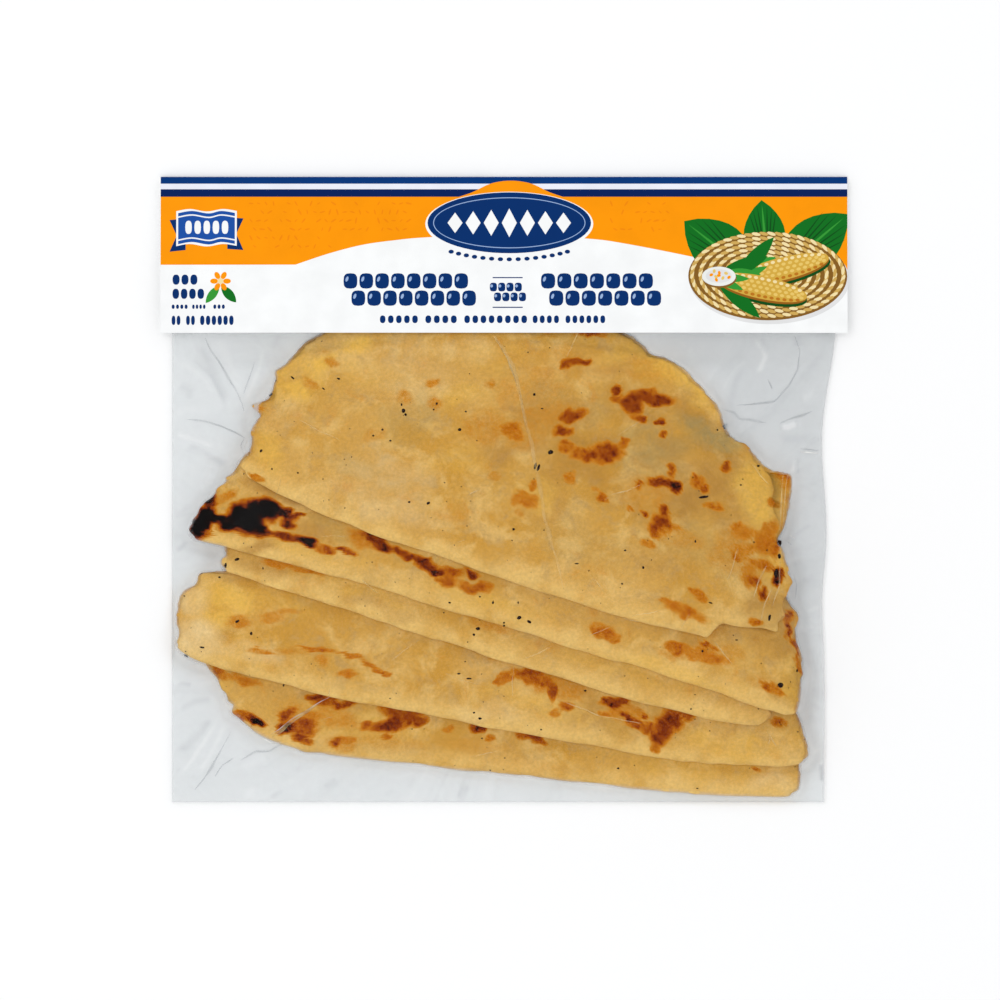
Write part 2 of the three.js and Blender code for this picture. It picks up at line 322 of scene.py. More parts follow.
# Browning: place, half length, half width, turn and depth of colour, from 0.2 for orange over 0.6 for
# brown to 1 for black; on the third flatbread two brown marks are a painted shadow line
BROWNING = [
    [
        (-102.2, -65.3, 3.6, 2.5, -40, 0.43), (-92.9, -68.6, 7.9, 2.2, -16, 0.34),
        (-103.3, -65, 1.8, 1.8, 0, 0.48), (-90, -83, 4.3, 1.8, -10, 0.72),
        (-88.6, -83.9, 2.7, 2.1, 0, 1.02), (-95.8, -80.5, 2.9, 1.4, 0, 0.4),
        (-93.2, -81.9, 4.3, 1.8, 0, 0.5), (-77.8, -80.8, 3.6, 2.5, 20, 0.64),
        (-78.5, -85.9, 3.4, 3, 30, 0.86), (-72.4, -90.2, 4.3, 1.8, -20, 0.66),
        (-71.6, -85.5, 5.6, 4.5, 0, 0.56), (-79.6, -86.9, 2.6, 1.9, 0, 0.82),
        (-69.1, -81.5, 4.5, 3.1, 0, 0.3), (-63.4, -76.5, 5, 2.5, 0, 0.59), (-59, -77.6, 2.9, 2.2, 0, 0.6),
        (-67, -74.6, 5, 1.6, -14, 0.7), (-55.4, -77, 3.4, 2.2, 10, 0.62),
        (-40.3, -84.4, 6.5, 2.9, 10, 0.7), (-45.4, -85.5, 2.9, 1.8, 0, 0.62),
        (-33.1, -81.5, 4.3, 2.9, 20, 0.66), (-30.2, -83.3, 3.2, 2.5, 30, 0.63),
        (-38.2, -80.1, 7.6, 3.2, -10, 0.58), (-49.7, -84.4, 2.9, 2.2, 0, 0.53),
        (-41.8, -89.1, 2.2, 1.8, 0, 0.44), (-59.8, -90.5, 3.2, 1.8, 0, 0.6),
        (-56.9, -90.2, 5, 2.2, 0, 0.36), (-9, -86.3, 3.4, 2, 0, 0.66), (-9.4, -85, 4.6, 2.2, 0, 0.56),
        (-4.7, -89.5, 2.2, 1.8, 0, 0.46), (-20.5, -85.9, 2.5, 1.4, 0, 0.34),
        (11.5, -89.7, 5.2, 1.5, -15, 0.68), (9.4, -88.7, 6, 1.6, -15, 0.56),
        (90, -100.6, 1.8, 1.1, 0, 0.52), (8, -100, 22, 5, -4, 0.12), (-10, -92, 16, 4, -5, 0.14),
        (-72, -81, 16, 7, -14, 0.16), (-60, -82, 11, 5, -10, 0.2), (-58, -91, 8, 4, -6, 0.2),
        (-42, -91, 18, 4, -6, 0.14),
    ],
    [
        (-95, -47.7, 5.8, 3.2, 0, 0.24), (-83.5, -46.3, 6.5, 2.2, 10, 0.22),
        (-67, -56.7, 7.2, 1.1, -8, 0.42), (-54.7, -59.6, 7.2, 1.1, -16, 0.34),
        (-47.5, -63.2, 5, 1.4, -25, 0.42), (-43.9, -65.7, 3.6, 1.1, -10, 0.46),
        (-56.9, -66.1, 4.7, 1.8, 0, 0.3), (-64.8, -61.4, 2.9, 2.9, 0, 0.26),
        (-87.1, -58.1, 7.2, 1.4, -10, 0.26), (-76, -58, 9, 1.6, -8, 0.2),
        (-80.6, -44.5, 10.8, 1.4, 4, 0.22), (10.1, -67.1, 9.4, 3.2, -14, 0.5),
        (0.7, -67.5, 3.2, 2.2, 20, 0.48), (-2.5, -68.6, 2.2, 1.8, 0, 0.5),
        (17.3, -72.2, 1.8, 4.7, 0, 0.56), (15.8, -69.3, 2.9, 2.9, 0, 0.56),
        (22, -77.6, 3.2, 2.2, 0, 0.48), (18.4, -80.1, 2.9, 1.8, 0, 0.3), (40, -76.1, 6.5, 1.8, 6, 0.7),
        (44.6, -81.9, 3.6, 1.6, -35, 0.74), (47.9, -84.4, 3.2, 1.8, -30, 0.56),
        (50.8, -81.5, 1.4, 1.4, 0, 0.55), (36, -80.5, 3.6, 1.1, -10, 0.4),
        (59, -83.7, 6.1, 4.3, 20, 0.72), (56.2, -87.7, 4, 5.4, -10, 0.7), (61.2, -80.8, 5, 3.2, -10, 0.6),
        (54.4, -92.7, 2.2, 2.9, 0, 0.48), (51.8, -85.9, 2.9, 2.2, 0, 0.52),
        (66.2, -81.5, 2.5, 1.8, 0, 0.5), (-5, -56, 12, 6, -15, 0.18), (98.3, -83.7, 4, 2.5, 0, 0.44),
        (20, -71, 14, 5, -12, 0.22), (44, -80, 10, 4, -12, 0.25),
    ],
    [
        # The first and third marks here are a painted shadow line under the folded edge of the flatbread
        # above
        (-82.4, -26.5, 6.5, 1.8, -12, 0.3), (-5, -48, 12, 4, -17, 0.19),
        (-73.4, -28.3, 10.8, 1.4, -12, 0.32), (99, -84.1, 3.2, 2.2, 0, 0.42),
        (95.8, -85.9, 1.6, 1.5, 0, 0.42),
    ],
    [
        (-92.5, -10.3, 7.9, 5.8, -12, 1.15), (-97.6, -11.7, 5.8, 4.3, 20, 1.05),
        (-88.6, -6.7, 5, 3.2, -30, 1.15), (-108.5, -12, 4, 8, -28, 1.1), (-103, -10.6, 5, 1.8, 20, 0.97),
        (-105.8, -4.2, 2.3, 3.5, -40, 0.93), (-84.5, -7.3, 6, 4.4, -10, 1.12),
        (-80, -8.5, 6.5, 2.5, -22, 0.95), (-74.5, -9.5, 3.3, 1.5, 10, 0.72),
        (-87.1, -14.6, 3.6, 3.2, 0, 1.06), (-99.4, -2.7, 5, 1.8, 30, 0.3),
        (-78.8, -16.7, 8.6, 1.9, -10, 0.74), (-70.2, -18.9, 4, 1.8, -18, 0.88),
        (-63.7, -22.1, 4.3, 1.8, -14, 0.56), (-56.2, -22.1, 4.4, 1.2, -6, 0.6),
        (-47.5, -16.6, 4.2, 2.4, -50, 0.76), (-43.2, -20, 5, 2.5, -30, 0.76),
        (-35.6, -23.6, 7.2, 1.8, -22, 0.62), (-27.4, -27.5, 6.2, 2.8, -25, 0.74),
        (-24.1, -29, 2.5, 1.8, 0, 0.83), (-18.7, -29.7, 5, 1.8, -20, 0.5),
        (-11.5, -29.7, 4.3, 1.8, -20, 0.7), (-20.5, -31.9, 4.3, 3.6, -20, 0.48),
        (-9.4, -35.5, 5.8, 2.5, 0, 0.45), (-14.4, -34.4, 3.6, 2.2, 0, 0.42),
        (35.6, -50.6, 6.4, 2.9, -14, 0.44), (38.9, -53.1, 2.5, 1.8, 0, 0.4),
        (72, -59.6, 11.5, 3.2, -14, 0.34), (61.9, -58.1, 2.9, 1.8, 0, 0.46),
        (72.7, -56, 3.6, 1.1, -14, 0.5), (95.4, -71.1, 5, 2.2, -25, 0.46), (99.4, -74, 1.8, 1.4, 0, 0.5),
        (102.3, -45.5, 1.6, 3.2, -20, 0.5), (101.9, -50.5, 1.4, 3.6, -8, 0.7),
        (104.3, -56.9, 1.1, 4.7, 18, 0.52), (107, -64.5, 1, 5.4, 12, 0.42),
        (-77.5, -12.5, 3.6, 1.8, -20, 0.81), (62, -55.8, 6, 2.2, -8, 0.42), (-50, -17.5, 8, 4, -17, 0.3),
        (70, -50, 10, 4, -15, 0.18), (60, -59, 8, 3, -15, 0.18), (81, -58, 8, 4, -15, 0.16),
        (92, -69, 7, 4, -15, 0.16),
    ],
    [
        (25.6, 45.4, 5.8, 1.9, 3, 0.54), (22, 45, 2.4, 2.2, 0, 0.6), (29.2, 45.8, 2.6, 1.7, 20, 0.74),
        (52.6, 32.9, 9.7, 3.2, -4, 0.66), (40, 36.2, 2.1, 2.6, 0, 0.73), (39.8, 32, 2.6, 2.4, 0, 0.53),
        (45.6, 30.6, 4.8, 4, 0, 0.64), (48, 26, 3.6, 1.6, -25, 0.52), (50, 25.4, 1.4, 1.4, 0, 0.6),
        (56.2, 24.3, 1.8, 1.4, 0, 0.62), (56.9, 19.3, 1.4, 1.8, 0, 0.58), (24.5, 26.5, 6.1, 2.5, 14, 0.6),
        (21.2, 20.7, 4.7, 2.5, 0, 0.62), (22.5, 15, 4.5, 3, -10, 0.46), (28, 12.5, 5, 3.4, 0, 0.5),
        (36, 13.2, 8, 4.2, 5, 0.55), (37.5, 12.6, 4.5, 2.8, 0, 0.64), (42.5, 16.7, 2.2, 1.8, 30, 0.44),
        (23.8, 3.8, 2.9, 2.5, 30, 0.36), (34.9, -2.3, 2.9, 2.2, -10, 0.46), (32, 0.5, 1.8, 1.1, 0, 0.3),
        (56.5, 2.3, 6.1, 2.5, -12, 0.66), (61.2, 0.9, 2.5, 2.5, 0, 0.9), (60, 7, 1.7, 3.4, -10, 0.56),
        (69.5, 3.1, 3.6, 2.9, -20, 0.4), (68.4, 4.9, 1.4, 1.4, 0, 0.48), (72, 0.2, 1.6, 2, 0, 0.55),
        (79.2, 7.6, 2.8, 1.8, 10, 0.64), (75.2, -5.9, 4, 1.8, -12, 0.46), (56.5, -11.7, 4, 4.3, 30, 0.64),
        (58, -7.4, 1.8, 1.8, 0, 0.66), (54, -14.6, 2.9, 3.2, 0, 0.6), (51.5, -19.3, 3.6, 1.8, -20, 0.32),
        (45, -7, 1.4, 1.4, 0, 0.38), (50, -9.2, 1.4, 1.4, 0, 0.66), (48.2, 1.6, 1.4, 1.8, 0, 0.6),
        (61.9, -13.1, 1.6, 1.3, 0, 0.4), (94, -19, 5, 6, 0, 0.38), (86, -16, 5, 3.5, 30, 0.3),
        (84, -23, 5, 4, -20, 0.28), (82.8, -13.9, 3.2, 2.2, 40, 0.36), (95, -14.4, 4.7, 3.2, 40, 0.36),
        (83.2, -24.1, 4.7, 1.8, -25, 0.34), (97.2, -21.2, 2.2, 5, 0, 0.46),
        (92.2, -27, 5, 2.5, -20, 0.37), (88.2, -21.6, 2.5, 1.4, 10, 0.34), (89.6, -32.6, 2.2, 2, 0, 0.53),
        (93.2, -36.8, 1.8, 3.2, -20, 0.7), (97.8, -31, 2, 3.6, -10, 0.86), (98.6, -5.6, 1.4, 2.5, 0, 0.2),
        (88, -31, 5, 5, 0, 0.28), (96.5, -4.5, 2.2, 1.8, 20, 0.42), (100.4, 4.3, 4, 2, -10, 0.5),
        (102, 1.2, 2, 2.8, 0, 0.32), (64.4, -43.4, 9.5, 3, -24, 0.38), (69.5, -37.6, 4.3, 1.8, -40, 0.36),
        (57.6, -39.8, 2.2, 1.4, -20, 0.34), (2.9, 20.7, 4.9, 3.4, -20, 0.4),
        (7.2, -3.8, 6.1, 3.4, -15, 0.34), (10.4, 1.3, 1.8, 2.2, 0, 0.34), (-5, 38.3, 2.2, 1.8, 0, 0.24),
        (5.4, -8.1, 2.5, 1.4, 0, 0.22), (31, 55.6, 6.5, 1.4, 0, 0.56), (15.8, 55.3, 4.3, 1.1, 0, 0.2),
        (-69.5, 38, 4.7, 2.2, -15, 0.2), (-61.9, 45.9, 5, 1.8, -10, 0.22),
        (-64.4, 49.5, 2.2, 1.4, 0, 0.17), (-25.2, 38.3, 3.2, 1.8, 10, 0.25),
        (-88.6, 4.5, 3.6, 1.4, -25, 0.42), (-88.2, 29.3, 2.9, 1.1, 0, 0.36),
        (-35.6, 32.9, 4.3, 3.2, 0, 0.2), (-24.5, 31.1, 3.6, 3.2, 0, 0.22), (-3.6, 5.2, 2.9, 1.8, 0, 0.2),
        (-46.4, 19.3, 5.8, 3.2, 20, 0.18), (89.3, -47, 3.2, 1.8, -10, 0.48),
        (70.6, 49.5, 7.2, 1.4, -35, 0.2), (-8.6, 23.6, 7.2, 1.8, 0, 0.18), (8, 20, 12, 8, 0, 0.17),
        (12, 36, 18, 8, 0, 0.15), (52, 43, 14, 7, -10, 0.15), (82, -20, 8, 9, 0, 0.17),
        (-7, 22, 11, 9, 0, 0.19), (17, 27, 16, 6, 0, 0.18), (52, -1, 12, 9, 0, 0.17),
        (62, -17, 17, 5, -15, 0.17), (79, -25, 9, 6, -20, 0.17), (20, 45, 34, 7, -5, 0.13),
    ],
]

# Small torn bits of the edges that stick out, or bays where they fell off: place, size and how far out
TEARS = {
    4: [
        (-86.2, 29.4, 2, 5), (-88, 26.6, 1.1, -0.8), (-81.3, 42.3, 1.5, 0.7), (-90.4, 22, 1.4, 0.5),
        (-92, 12.5, 1.5, -0.7), (-93.6, 8.4, 1.1, 0.8), (94.8, 7.2, 1.5, 0.8), (87, 14.9, 2, 0.5),
        (99, -18, 2, -0.5), (100.6, -27.8, 1.3, 0.9), (102.2, -33, 1.4, 0.7), (95.4, -51, 2.4, 3.2),
        (73.6, -53.6, 2, 1.2),
    ],
    3: [
        (-98.3, 4.2, 1.2, 1.1), (-101.5, 1.6, 1.4, -0.6), (105, -44.7, 1.5, 0.8),
        (104.2, -39.5, 1.5, -1.2), (107.5, -66, 2, 0.5),
    ],
    2: [(-99.5, -20.4, 1.2, 0.8), (-99.8, -24, 1.2, -0.7)],
    1: [(-101, -30.4, 1.4, -0.8), (-109, -30.5, 1.4, 0.5), (-116, -55, 2, 0.9), (108.8, -93, 2, 0.5)],
    0: [
        (-101, -73.5, 2.5, -0.6), (-97.4, -77.4, 1.6, -1), (-98, -80.8, 1.8, 0.9),
        (-71, -94, 3, 0.8),
    ],
}
MARK_CORE = 0.45  # share of its size within which a mark has its full depth
MARK_REACH = 1.3  # and beyond which it has none

# Yellower places, above 0, and olive ones, below 0, given as the browning is; the olive ones are partly
# painted shade, over the relief of the flatbreads beneath and under the folded edges above
TINT_AND_SHADE_PLACES = [
    [(-60, -83, 30, 6, -8, 0.4), (60, -97, 34, 6, -8, 0.35)],
    [
        (-104, -42, 12, 9, 20, 0.75), (-84, -40, 18, 5, -10, 0.4), (-96, -58, 14, 6, -20, 0.4),
        (20, -79, 30, 4, -14, 0.3), (80, -92, 18, 5, -10, 0.4),
    ],
    [(-60, -32, 30, 3, -18, 0.3), (40, -62, 30, 3, -18, 0.3)],
    [
        (-72, -22, 22, 4, -20, 0.35), (-8, -40, 24, 4, -17, 0.35), (60, -66, 26, 4, -17, 0.4),
        (-60, -14, 10, 4, -20, -0.4), (-30, -24, 12, 3, -18, -0.35), (104, -70, 5, 12, 10, 0.5),
    ],
    [
        (72.4, 21.4, 11, 7, -25, -1), (81, 17.5, 6, 5, -40, -1), (54, 17, 15, 5, -10, -0.5),
        (52, 9.5, 16, 6, -20, -0.35), (14.8, 34, 9, 5, -10, -0.55), (32, 26, 8, 4, 20, -0.3),
        (-36, 24, 9, 7, 0, -0.35), (-27, 30, 6, 5, 0, -0.4), (68, -20, 20, 7, -30, -0.3),
        (-52, 8, 14, 5, -20, -0.3), (26, -18, 20, 8, -20, -0.25), (90, -2, 8, 13, 20, 0.95),
        (66, 40, 14, 6, -35, 0.8), (78, 26, 5, 6, -40, 0.5), (-73, 42, 12, 8, 20, 0.65),
        (-51.8, 52, 6, 5, 10, 0.95), (-76, 33, 7, 3, -10, 0.85), (-84, 14, 6, 11, 10, 0.6),
        (-62, 47, 5, 3, 20, 0.8), (-14, 34, 10, 4, 10, 0.45), (2, 21, 8, 4, -10, 0.5),
        (12, -2, 9, 6, -30, 0.45), (-45, 40, 12, 5, -10, 0.3), (48, 46, 20, 5, -10, 0.5),
        (-20, 10, 14, 6, 10, 0.3), (-4, 48, 16, 5, 0, 0.3), (96, -26, 6, 10, 10, 0.5),
    ],
]

# Pale, creamy places, given as the browning is
CREAM_PLACES = [
    [(98, -105, 11, 4, -4, 0.4)],
    [
        (-109, -53, 11, 8, -10, 0.8), (-92, -59.5, 15, 4, -14, 0.4), (-10, -63, 12, 6, -14, 0.15),
        (-5, -81, 14, 4, -10, 0.25), (-113, -40, 6, 7, 0, 0.5),
    ],
    [],
    [],
    [
        (-42, 6, 20, 9, -12, 0.34), (-42, -6, 22, 7, -20, 0.3), (-14, 50, 12, 6, 0, 0.25),
        (-34, 40, 17, 13, 0, 0.25), (-82, 26, 9, 6, 10, 0.25),
    ],
]

# Darker, browner places, given as the browning is: partly darker dough and partly painted shadow under
# the edges of the flatbreads above
DUSKY_AND_SHADE_PLACES = [
    [
        (-59, -81, 14, 6, -14, 0.4), (-77, -80, 12, 7, -14, 0.3), (-48, -91, 24, 5, -6, 0.25),
        (-5, -92, 22, 5, -5, 0.15), (6, -103, 22, 4, -3, 0.1),
    ],
    [
        (-5, -51, 14, 5, -16, 0.3), (18, -71, 13, 5, -12, 0.65), (38, -81, 14, 6, -14, 0.7),
        (55, -86, 12, 6, 0, 0.5), (-97, -51, 5, 4, 0, 0.3),
    ],
    [(-43, -41.5, 18, 4, -18, 0.35), (-87, -27, 14, 3.5, -14, 0.6)],
    [
        (-70, -16, 14, 4, -20, 0.5), (-89, -19.8, 8, 2.6, -8, 0.7), (-82, -1.5, 12, 3, -22, 0.7),
        (-5, -28, 14, 5, -20, 0.3), (98, -48, 9, 12, 0, 0.5), (102, -71, 6, 6, 0, 0.6),
        (70, -52, 16, 6, -15, 0.35), (30, -46, 12, 5, -15, 0.1), (107, -66, 5, 12, 0, 0.8),
    ],
    [
        (67, -0.5, 15, 12, 0, 0.7), (78, 8, 12, 8, -30, 0.5), (80, -8, 14, 7, -20, 0.55),
        (14, 24, 15, 8, -5, 0.6), (28, 12, 16, 9, 0, 0.6), (24, 26, 9, 6, 0, 0.5),
        (48, 30, 16, 8, -10, 0.4), (36, 45, 16, 7, -10, 0.35), (88, -20, 9, 9, 0, 0.45),
        (72, 25, 18, 7, -35, 0.42), (56, -24, 14, 7, -20, 0.3), (40, 2, 12, 7, 0, 0.3),
        (4, 17, 15, 8, 0, 0.5), (92, -44, 8, 8, 0, 0.5), (62, -7, 9, 8, 0, 0.3), (57, 14, 13, 7, 0, 0.5),
        (18, 4, 9, 6, 0, 0.35), (17, -6, 8, 6, 0, 0.3), (52, -3, 11, 9, 0, 0.4),
    ],
]


def patches(marks, x, y):
    """Each mark's value and its share at each point, from 1 inside it to 0 beyond its reach."""
    for mark_x, mark_y, length, width, turn, value in marks:
        a, b = turned(x - mark_x, y - mark_y, -turn)
        yield value, 1 - step(MARK_CORE, MARK_REACH, np.hypot(a / length, b / width))


def strongest(places, x, y):
    """The depth of whichever place is the strongest at each point."""
    return np.max([np.zeros_like(x), *(depth * share for depth, share in patches(places, x, y))], axis=0)


def browning(index, x, y):
    """Depth of colour that the griddle left on a flatbread's top, with wavering edges; two marks are
    painted shadow.
    """
    wx, wy = x + noises(x, y, MARKS_WAVER_X, index), y + noises(x, y, MARKS_WAVER_Y, index)
    return strongest(BROWNING[index], wx, wy)


def tones(index, x, y):
    """A flatbread's shares of the yellow or olive colour, of cream and of the darker colour; the olive
    and the darker are partly painted shade.
    """
    wx, wy = x + noises(x, y, TONES_WAVER_X, index), y + noises(x, y, TONES_WAVER_Y, index)
    tint_and_painted_shade = np.sum([value * share for value, share in patches(TINT_AND_SHADE_PLACES[index], wx, wy)], axis=0)
    return {
        "tint_and_painted_shade": np.clip(tint_and_painted_shade, -1, 1),
        "cream": strongest(CREAM_PLACES[index], wx, wy),
        "dusk_and_painted_shade": strongest(DUSKY_AND_SHADE_PLACES[index], wx, wy),
    }


def under_browning(index, x, y):
    """Scattered griddle marks on an underside, which the photo doesn't show."""
    return 0.6 * step(0.45, 0.95, noises(x, y, UNDERSIDE_MARKS, index))


# Making meshes


def piece(name, points, faces, inks, face_inks=None, sharp=None, **fields):
    """A piece that rides on the pack, from points in millimetres, with fields of a number per point."""
    mesh = bpy.data.meshes.new(name)
    mesh.from_pydata((np.asarray(points) * MM).tolist(), [], faces)
    for ink in inks:
        mesh.materials.append(ink)
    if face_inks is not None:
        mesh.polygons.foreach_set("material_index", np.asarray(face_inks, dtype=np.int32))
    for key, values in fields.items():
        layer = mesh.attributes.new(key, "FLOAT", "POINT")
        layer.data.foreach_set("value", np.asarray(values, dtype=np.float32))
    mesh.shade_smooth()
    if sharp:
        mesh.set_sharp_from_angle(angle=math.radians(sharp))
    made = bpy.data.objects.new(name, mesh)
    bpy.context.scene.collection.objects.link(made)
    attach(made, "root")
    return made


def neighbours(count, first=0):
    """Each point and the next one around a closed line of points, numbered from first."""
    return [(first + k, first + (k + 1) % count) for k in range(count)]


def band_faces(rings, sides, first):
    """Faces between rings of equal length, one after another, numbered from first."""
    return [
        (near, far, far + sides, near + sides)
        for ring in range(rings - 1)
        for near, far in neighbours(sides, first + ring * sides)
    ]


def ring_faces(rings, sides):
    """Faces of a closed skin: a first centre point, rings of equal length, and a last centre point."""
    top = 1 + rings * sides
    faces = [(0, far, near) for near, far in neighbours(sides, 1)]
    faces += band_faces(rings, sides, 1)
    return faces + [(top, near, far) for near, far in neighbours(sides, top - sides)]


def grid_border(firsts, seconds):
    """The border of a grid, once around, as pairs of one of its firsts and one of its seconds."""
    return (
        [(firsts[0], b) for b in seconds[:-1]]
        + [(a, seconds[-1]) for a in firsts[:-1]]
        + [(firsts[-1], b) for b in seconds[:0:-1]]
        + [(a, seconds[0]) for a in firsts[:0:-1]]
    )


# Materials


def srgb(red, green, blue):
    """A linear colour from sRGB values of 0 to 255."""
    values = [value / 255 for value in (red, green, blue)]
    return tuple(v / 12.92 if v < 0.04045 else ((v + 0.055) / 1.055) ** 2.4 for v in values) + (1,)


def new_material(name):
    """An empty material and its node tree."""
    made = bpy.data.materials.new(name)
    made.use_nodes = True
    made.node_tree.nodes.clear()
    return made, made.node_tree


def node(tree, kind, inputs=None, **settings):
    """A shader node with its settings, and its inputs by name or number as values or sockets."""
    made = tree.nodes.new("ShaderNode" + kind)
    for key, value in settings.items():
        setattr(made, key, value)
    for key, value in (inputs or {}).items():
        if isinstance(value, bpy.types.NodeSocket):
            tree.links.new(value, made.inputs[key])
        else:
            made.inputs[key].default_value = value
    return made


def maths(tree, operation, a, b=0.0, clamp=False):
    """A number made from two others."""
    return node(tree, "Math", {0: a, 1: b}, operation=operation, use_clamp=clamp).outputs[0]


def spread(tree, value, low, high, to_low=0.0, to_high=1.0):
    """A value's smooth step from low to high, carried to another range."""
    inputs = {"Value": value, "From Min": low, "From Max": high, "To Min": to_low, "To Max": to_high}
    return node(tree, "MapRange", inputs, interpolation_type="SMOOTHSTEP").outputs[0]


def blend(tree, share, a, b):
    """A mix of two colours, by the share of the second."""
    mix = node(tree, "Mix", data_type="RGBA")
    for socket, value in zip((mix.inputs[0], mix.inputs[6], mix.inputs[7]), (share, a, b)):
        if isinstance(value, bpy.types.NodeSocket):
            tree.links.new(value, socket)
        else:
            socket.default_value = value
    return mix.outputs[2]


def ramp(tree, value, stops):
    """Colours along a value, from stops of place and colour."""
    made = node(tree, "ValToRGB", {0: value})
    elements = made.color_ramp.elements
    while len(elements) < len(stops):
        elements.new(0.5)
    for element, (place, colour) in zip(elements, stops):
        element.position = place
        element.color = colour
    return made.outputs[0]


def shaded(tree, colour, value):
    """A colour made lighter or darker."""
    return node(tree, "HueSaturation", {"Color": colour, "Value": value}).outputs[0]


def millimetres(tree):
    """The surface's place in millimetres."""
    place = node(tree, "TexCoord").outputs["Object"]
    return node(tree, "VectorMath", {0: place, "Scale": 1 / MM}, operation="SCALE").outputs[0]


def cloud(tree, place, size, detail=3.0, roughness=0.5, distortion=0.0):
    """Noise with features about size millimetres across."""
    inputs = {
        "Vector": place, "Scale": 1 / size, "Detail": detail, "Roughness": roughness,
        "Distortion": distortion,
    }
    return node(tree, "TexNoise", inputs).outputs[0]


def bump(tree, height, distance, strength=1.0, normal=None):
    """A bumpy normal, distance millimetres high, on top of another one if given."""
    inputs = {"Height": height, "Distance": distance * MM, "Strength": strength}
    if normal is not None:
        inputs["Normal"] = normal
    return node(tree, "Bump", inputs).outputs[0]


def field(tree, name):
    """One of the piece's fields."""
    return node(tree, "Attribute", attribute_name=name).outputs["Fac"]


def output(tree, shader):
    """Makes a shader the material's surface."""
    node(tree, "OutputMaterial", {"Surface": shader})


def surface(tree, inputs):
    """Makes a principled shader with these inputs the material's surface."""
    output(tree, node(tree, "BsdfPrincipled", inputs).outputs[0])


# Colours of the dough
GOLD = srgb(211, 166, 85)
GOLD_DEEP = srgb(204, 154, 64)
GOLD_PALE = srgb(224, 186, 112)
GREY_TAN = srgb(194, 157, 94)
ORANGE_VEIN = srgb(208, 144, 50)
RIM_BROWN = srgb(180, 112, 40)
YELLOW = srgb(229, 184, 84)
# Olive, which is also painted shade
OLIVE_AND_SHADE = srgb(170, 148, 94)
# Paler dough along the fold, partly unbrowned and partly a painted highlight
FOLD_PALE_AND_HIGHLIGHT = srgb(231, 194, 118)
CREAM = srgb(234, 208, 154)
# Darker, browner dough, which is also painted shadow under the edges above
DUSKY_AND_SHADE = srgb(172, 124, 54)

# Mottling: the noise's size, detail, roughness and distortion, where it starts and ends, its strength
# and its colour
MOTTLING = [
    (13, 6, 0.62, 0.4, 0.45, 0.65, 0.85, GOLD_PALE),
    (7, 6, 0.68, 0.4, 0.5, 0.68, 0.7, GREY_TAN),
    (10, 7, 0.68, 0.6, 0.55, 0.7, 0.5, ORANGE_VEIN),
]
# The browning's depth of colour, and the colour it has there
BROWNING_COLOURS = [
    (0.12, srgb(205, 148, 54)),
    (0.26, srgb(201, 132, 34)),
    (0.42, srgb(188, 108, 10)),
    (0.54, srgb(164, 80, 6)),
    (0.65, srgb(142, 60, 4)),
    (0.76, srgb(112, 38, 4)),
    (0.87, srgb(42, 14, 6)),
    (0.98, srgb(6, 3, 3)),
]


def dough_colour(tree, place):
    """The dough without its browning: mottled gold, paler, yellower or darker where its fields say,
    partly with painted highlight and shade.
    """
    colour = blend(tree, spread(tree, cloud(tree, place, 30, 2), 0.35, 0.65), GOLD_DEEP, GOLD)
    for size, detail, roughness, distortion, low, high, strength, tone in MOTTLING:
        value = cloud(tree, place, size, detail, roughness, distortion)
        colour = blend(tree, spread(tree, value, low, high, 0, strength), colour, tone)
    broken = spread(tree, cloud(tree, place, 9), 0.3, 0.6, 0.3, 0.8)
    uneven = spread(tree, cloud(tree, place, 7, 4), 0.25, 0.65, 0.5, 1)
    patchy = cloud(tree, place, 6, 5, 0.6, 1.0)
    to_yellow = spread(tree, patchy, 0.3, 0.6, 0.35, 1)
    to_olive_and_shade = spread(tree, patchy, 0.3, 0.6, -0.3, -0.85)
    # Paler at the fold, partly a painted highlight; darker and olive places, partly painted shade
    for name, share, tone in (
        ("fold_edge", broken, FOLD_PALE_AND_HIGHLIGHT),
        ("dusk_and_painted_shade", uneven, DUSKY_AND_SHADE),
        ("tint_and_painted_shade", to_yellow, YELLOW),
        ("tint_and_painted_shade", to_olive_and_shade, OLIVE_AND_SHADE),
        ("cream", uneven, CREAM),
    ):
        colour = blend(tree, maths(tree, "MULTIPLY", field(tree, name), share, True), colour, tone)
    rim = maths(tree, "MULTIPLY", field(tree, "rim"), cloud(tree, place, 5, 4, 0.6, 0.5))
    return blend(tree, spread(tree, rim, 0.3, 0.75, 0, 0.6), colour, RIM_BROWN)


def baked_level(tree, place):
    """The browning's depth of colour, with ragged edges."""
    bake = field(tree, "bake")
    coarse = maths(tree, "SUBTRACT", cloud(tree, place, 3.4, 3, 0.6, 0.6), 0.5)
    speckle = maths(tree, "SUBTRACT", cloud(tree, place, 0.95, 3, 0.7, 0.2), 0.5)
    coarse, speckle = maths(tree, "MULTIPLY", coarse, 0.75), maths(tree, "MULTIPLY", speckle, 0.6)
    ragged = maths(tree, "ADD", coarse, speckle)
    return maths(tree, "ADD", bake, maths(tree, "MULTIPLY", ragged, spread(tree, bake, 0.02, 0.5)))


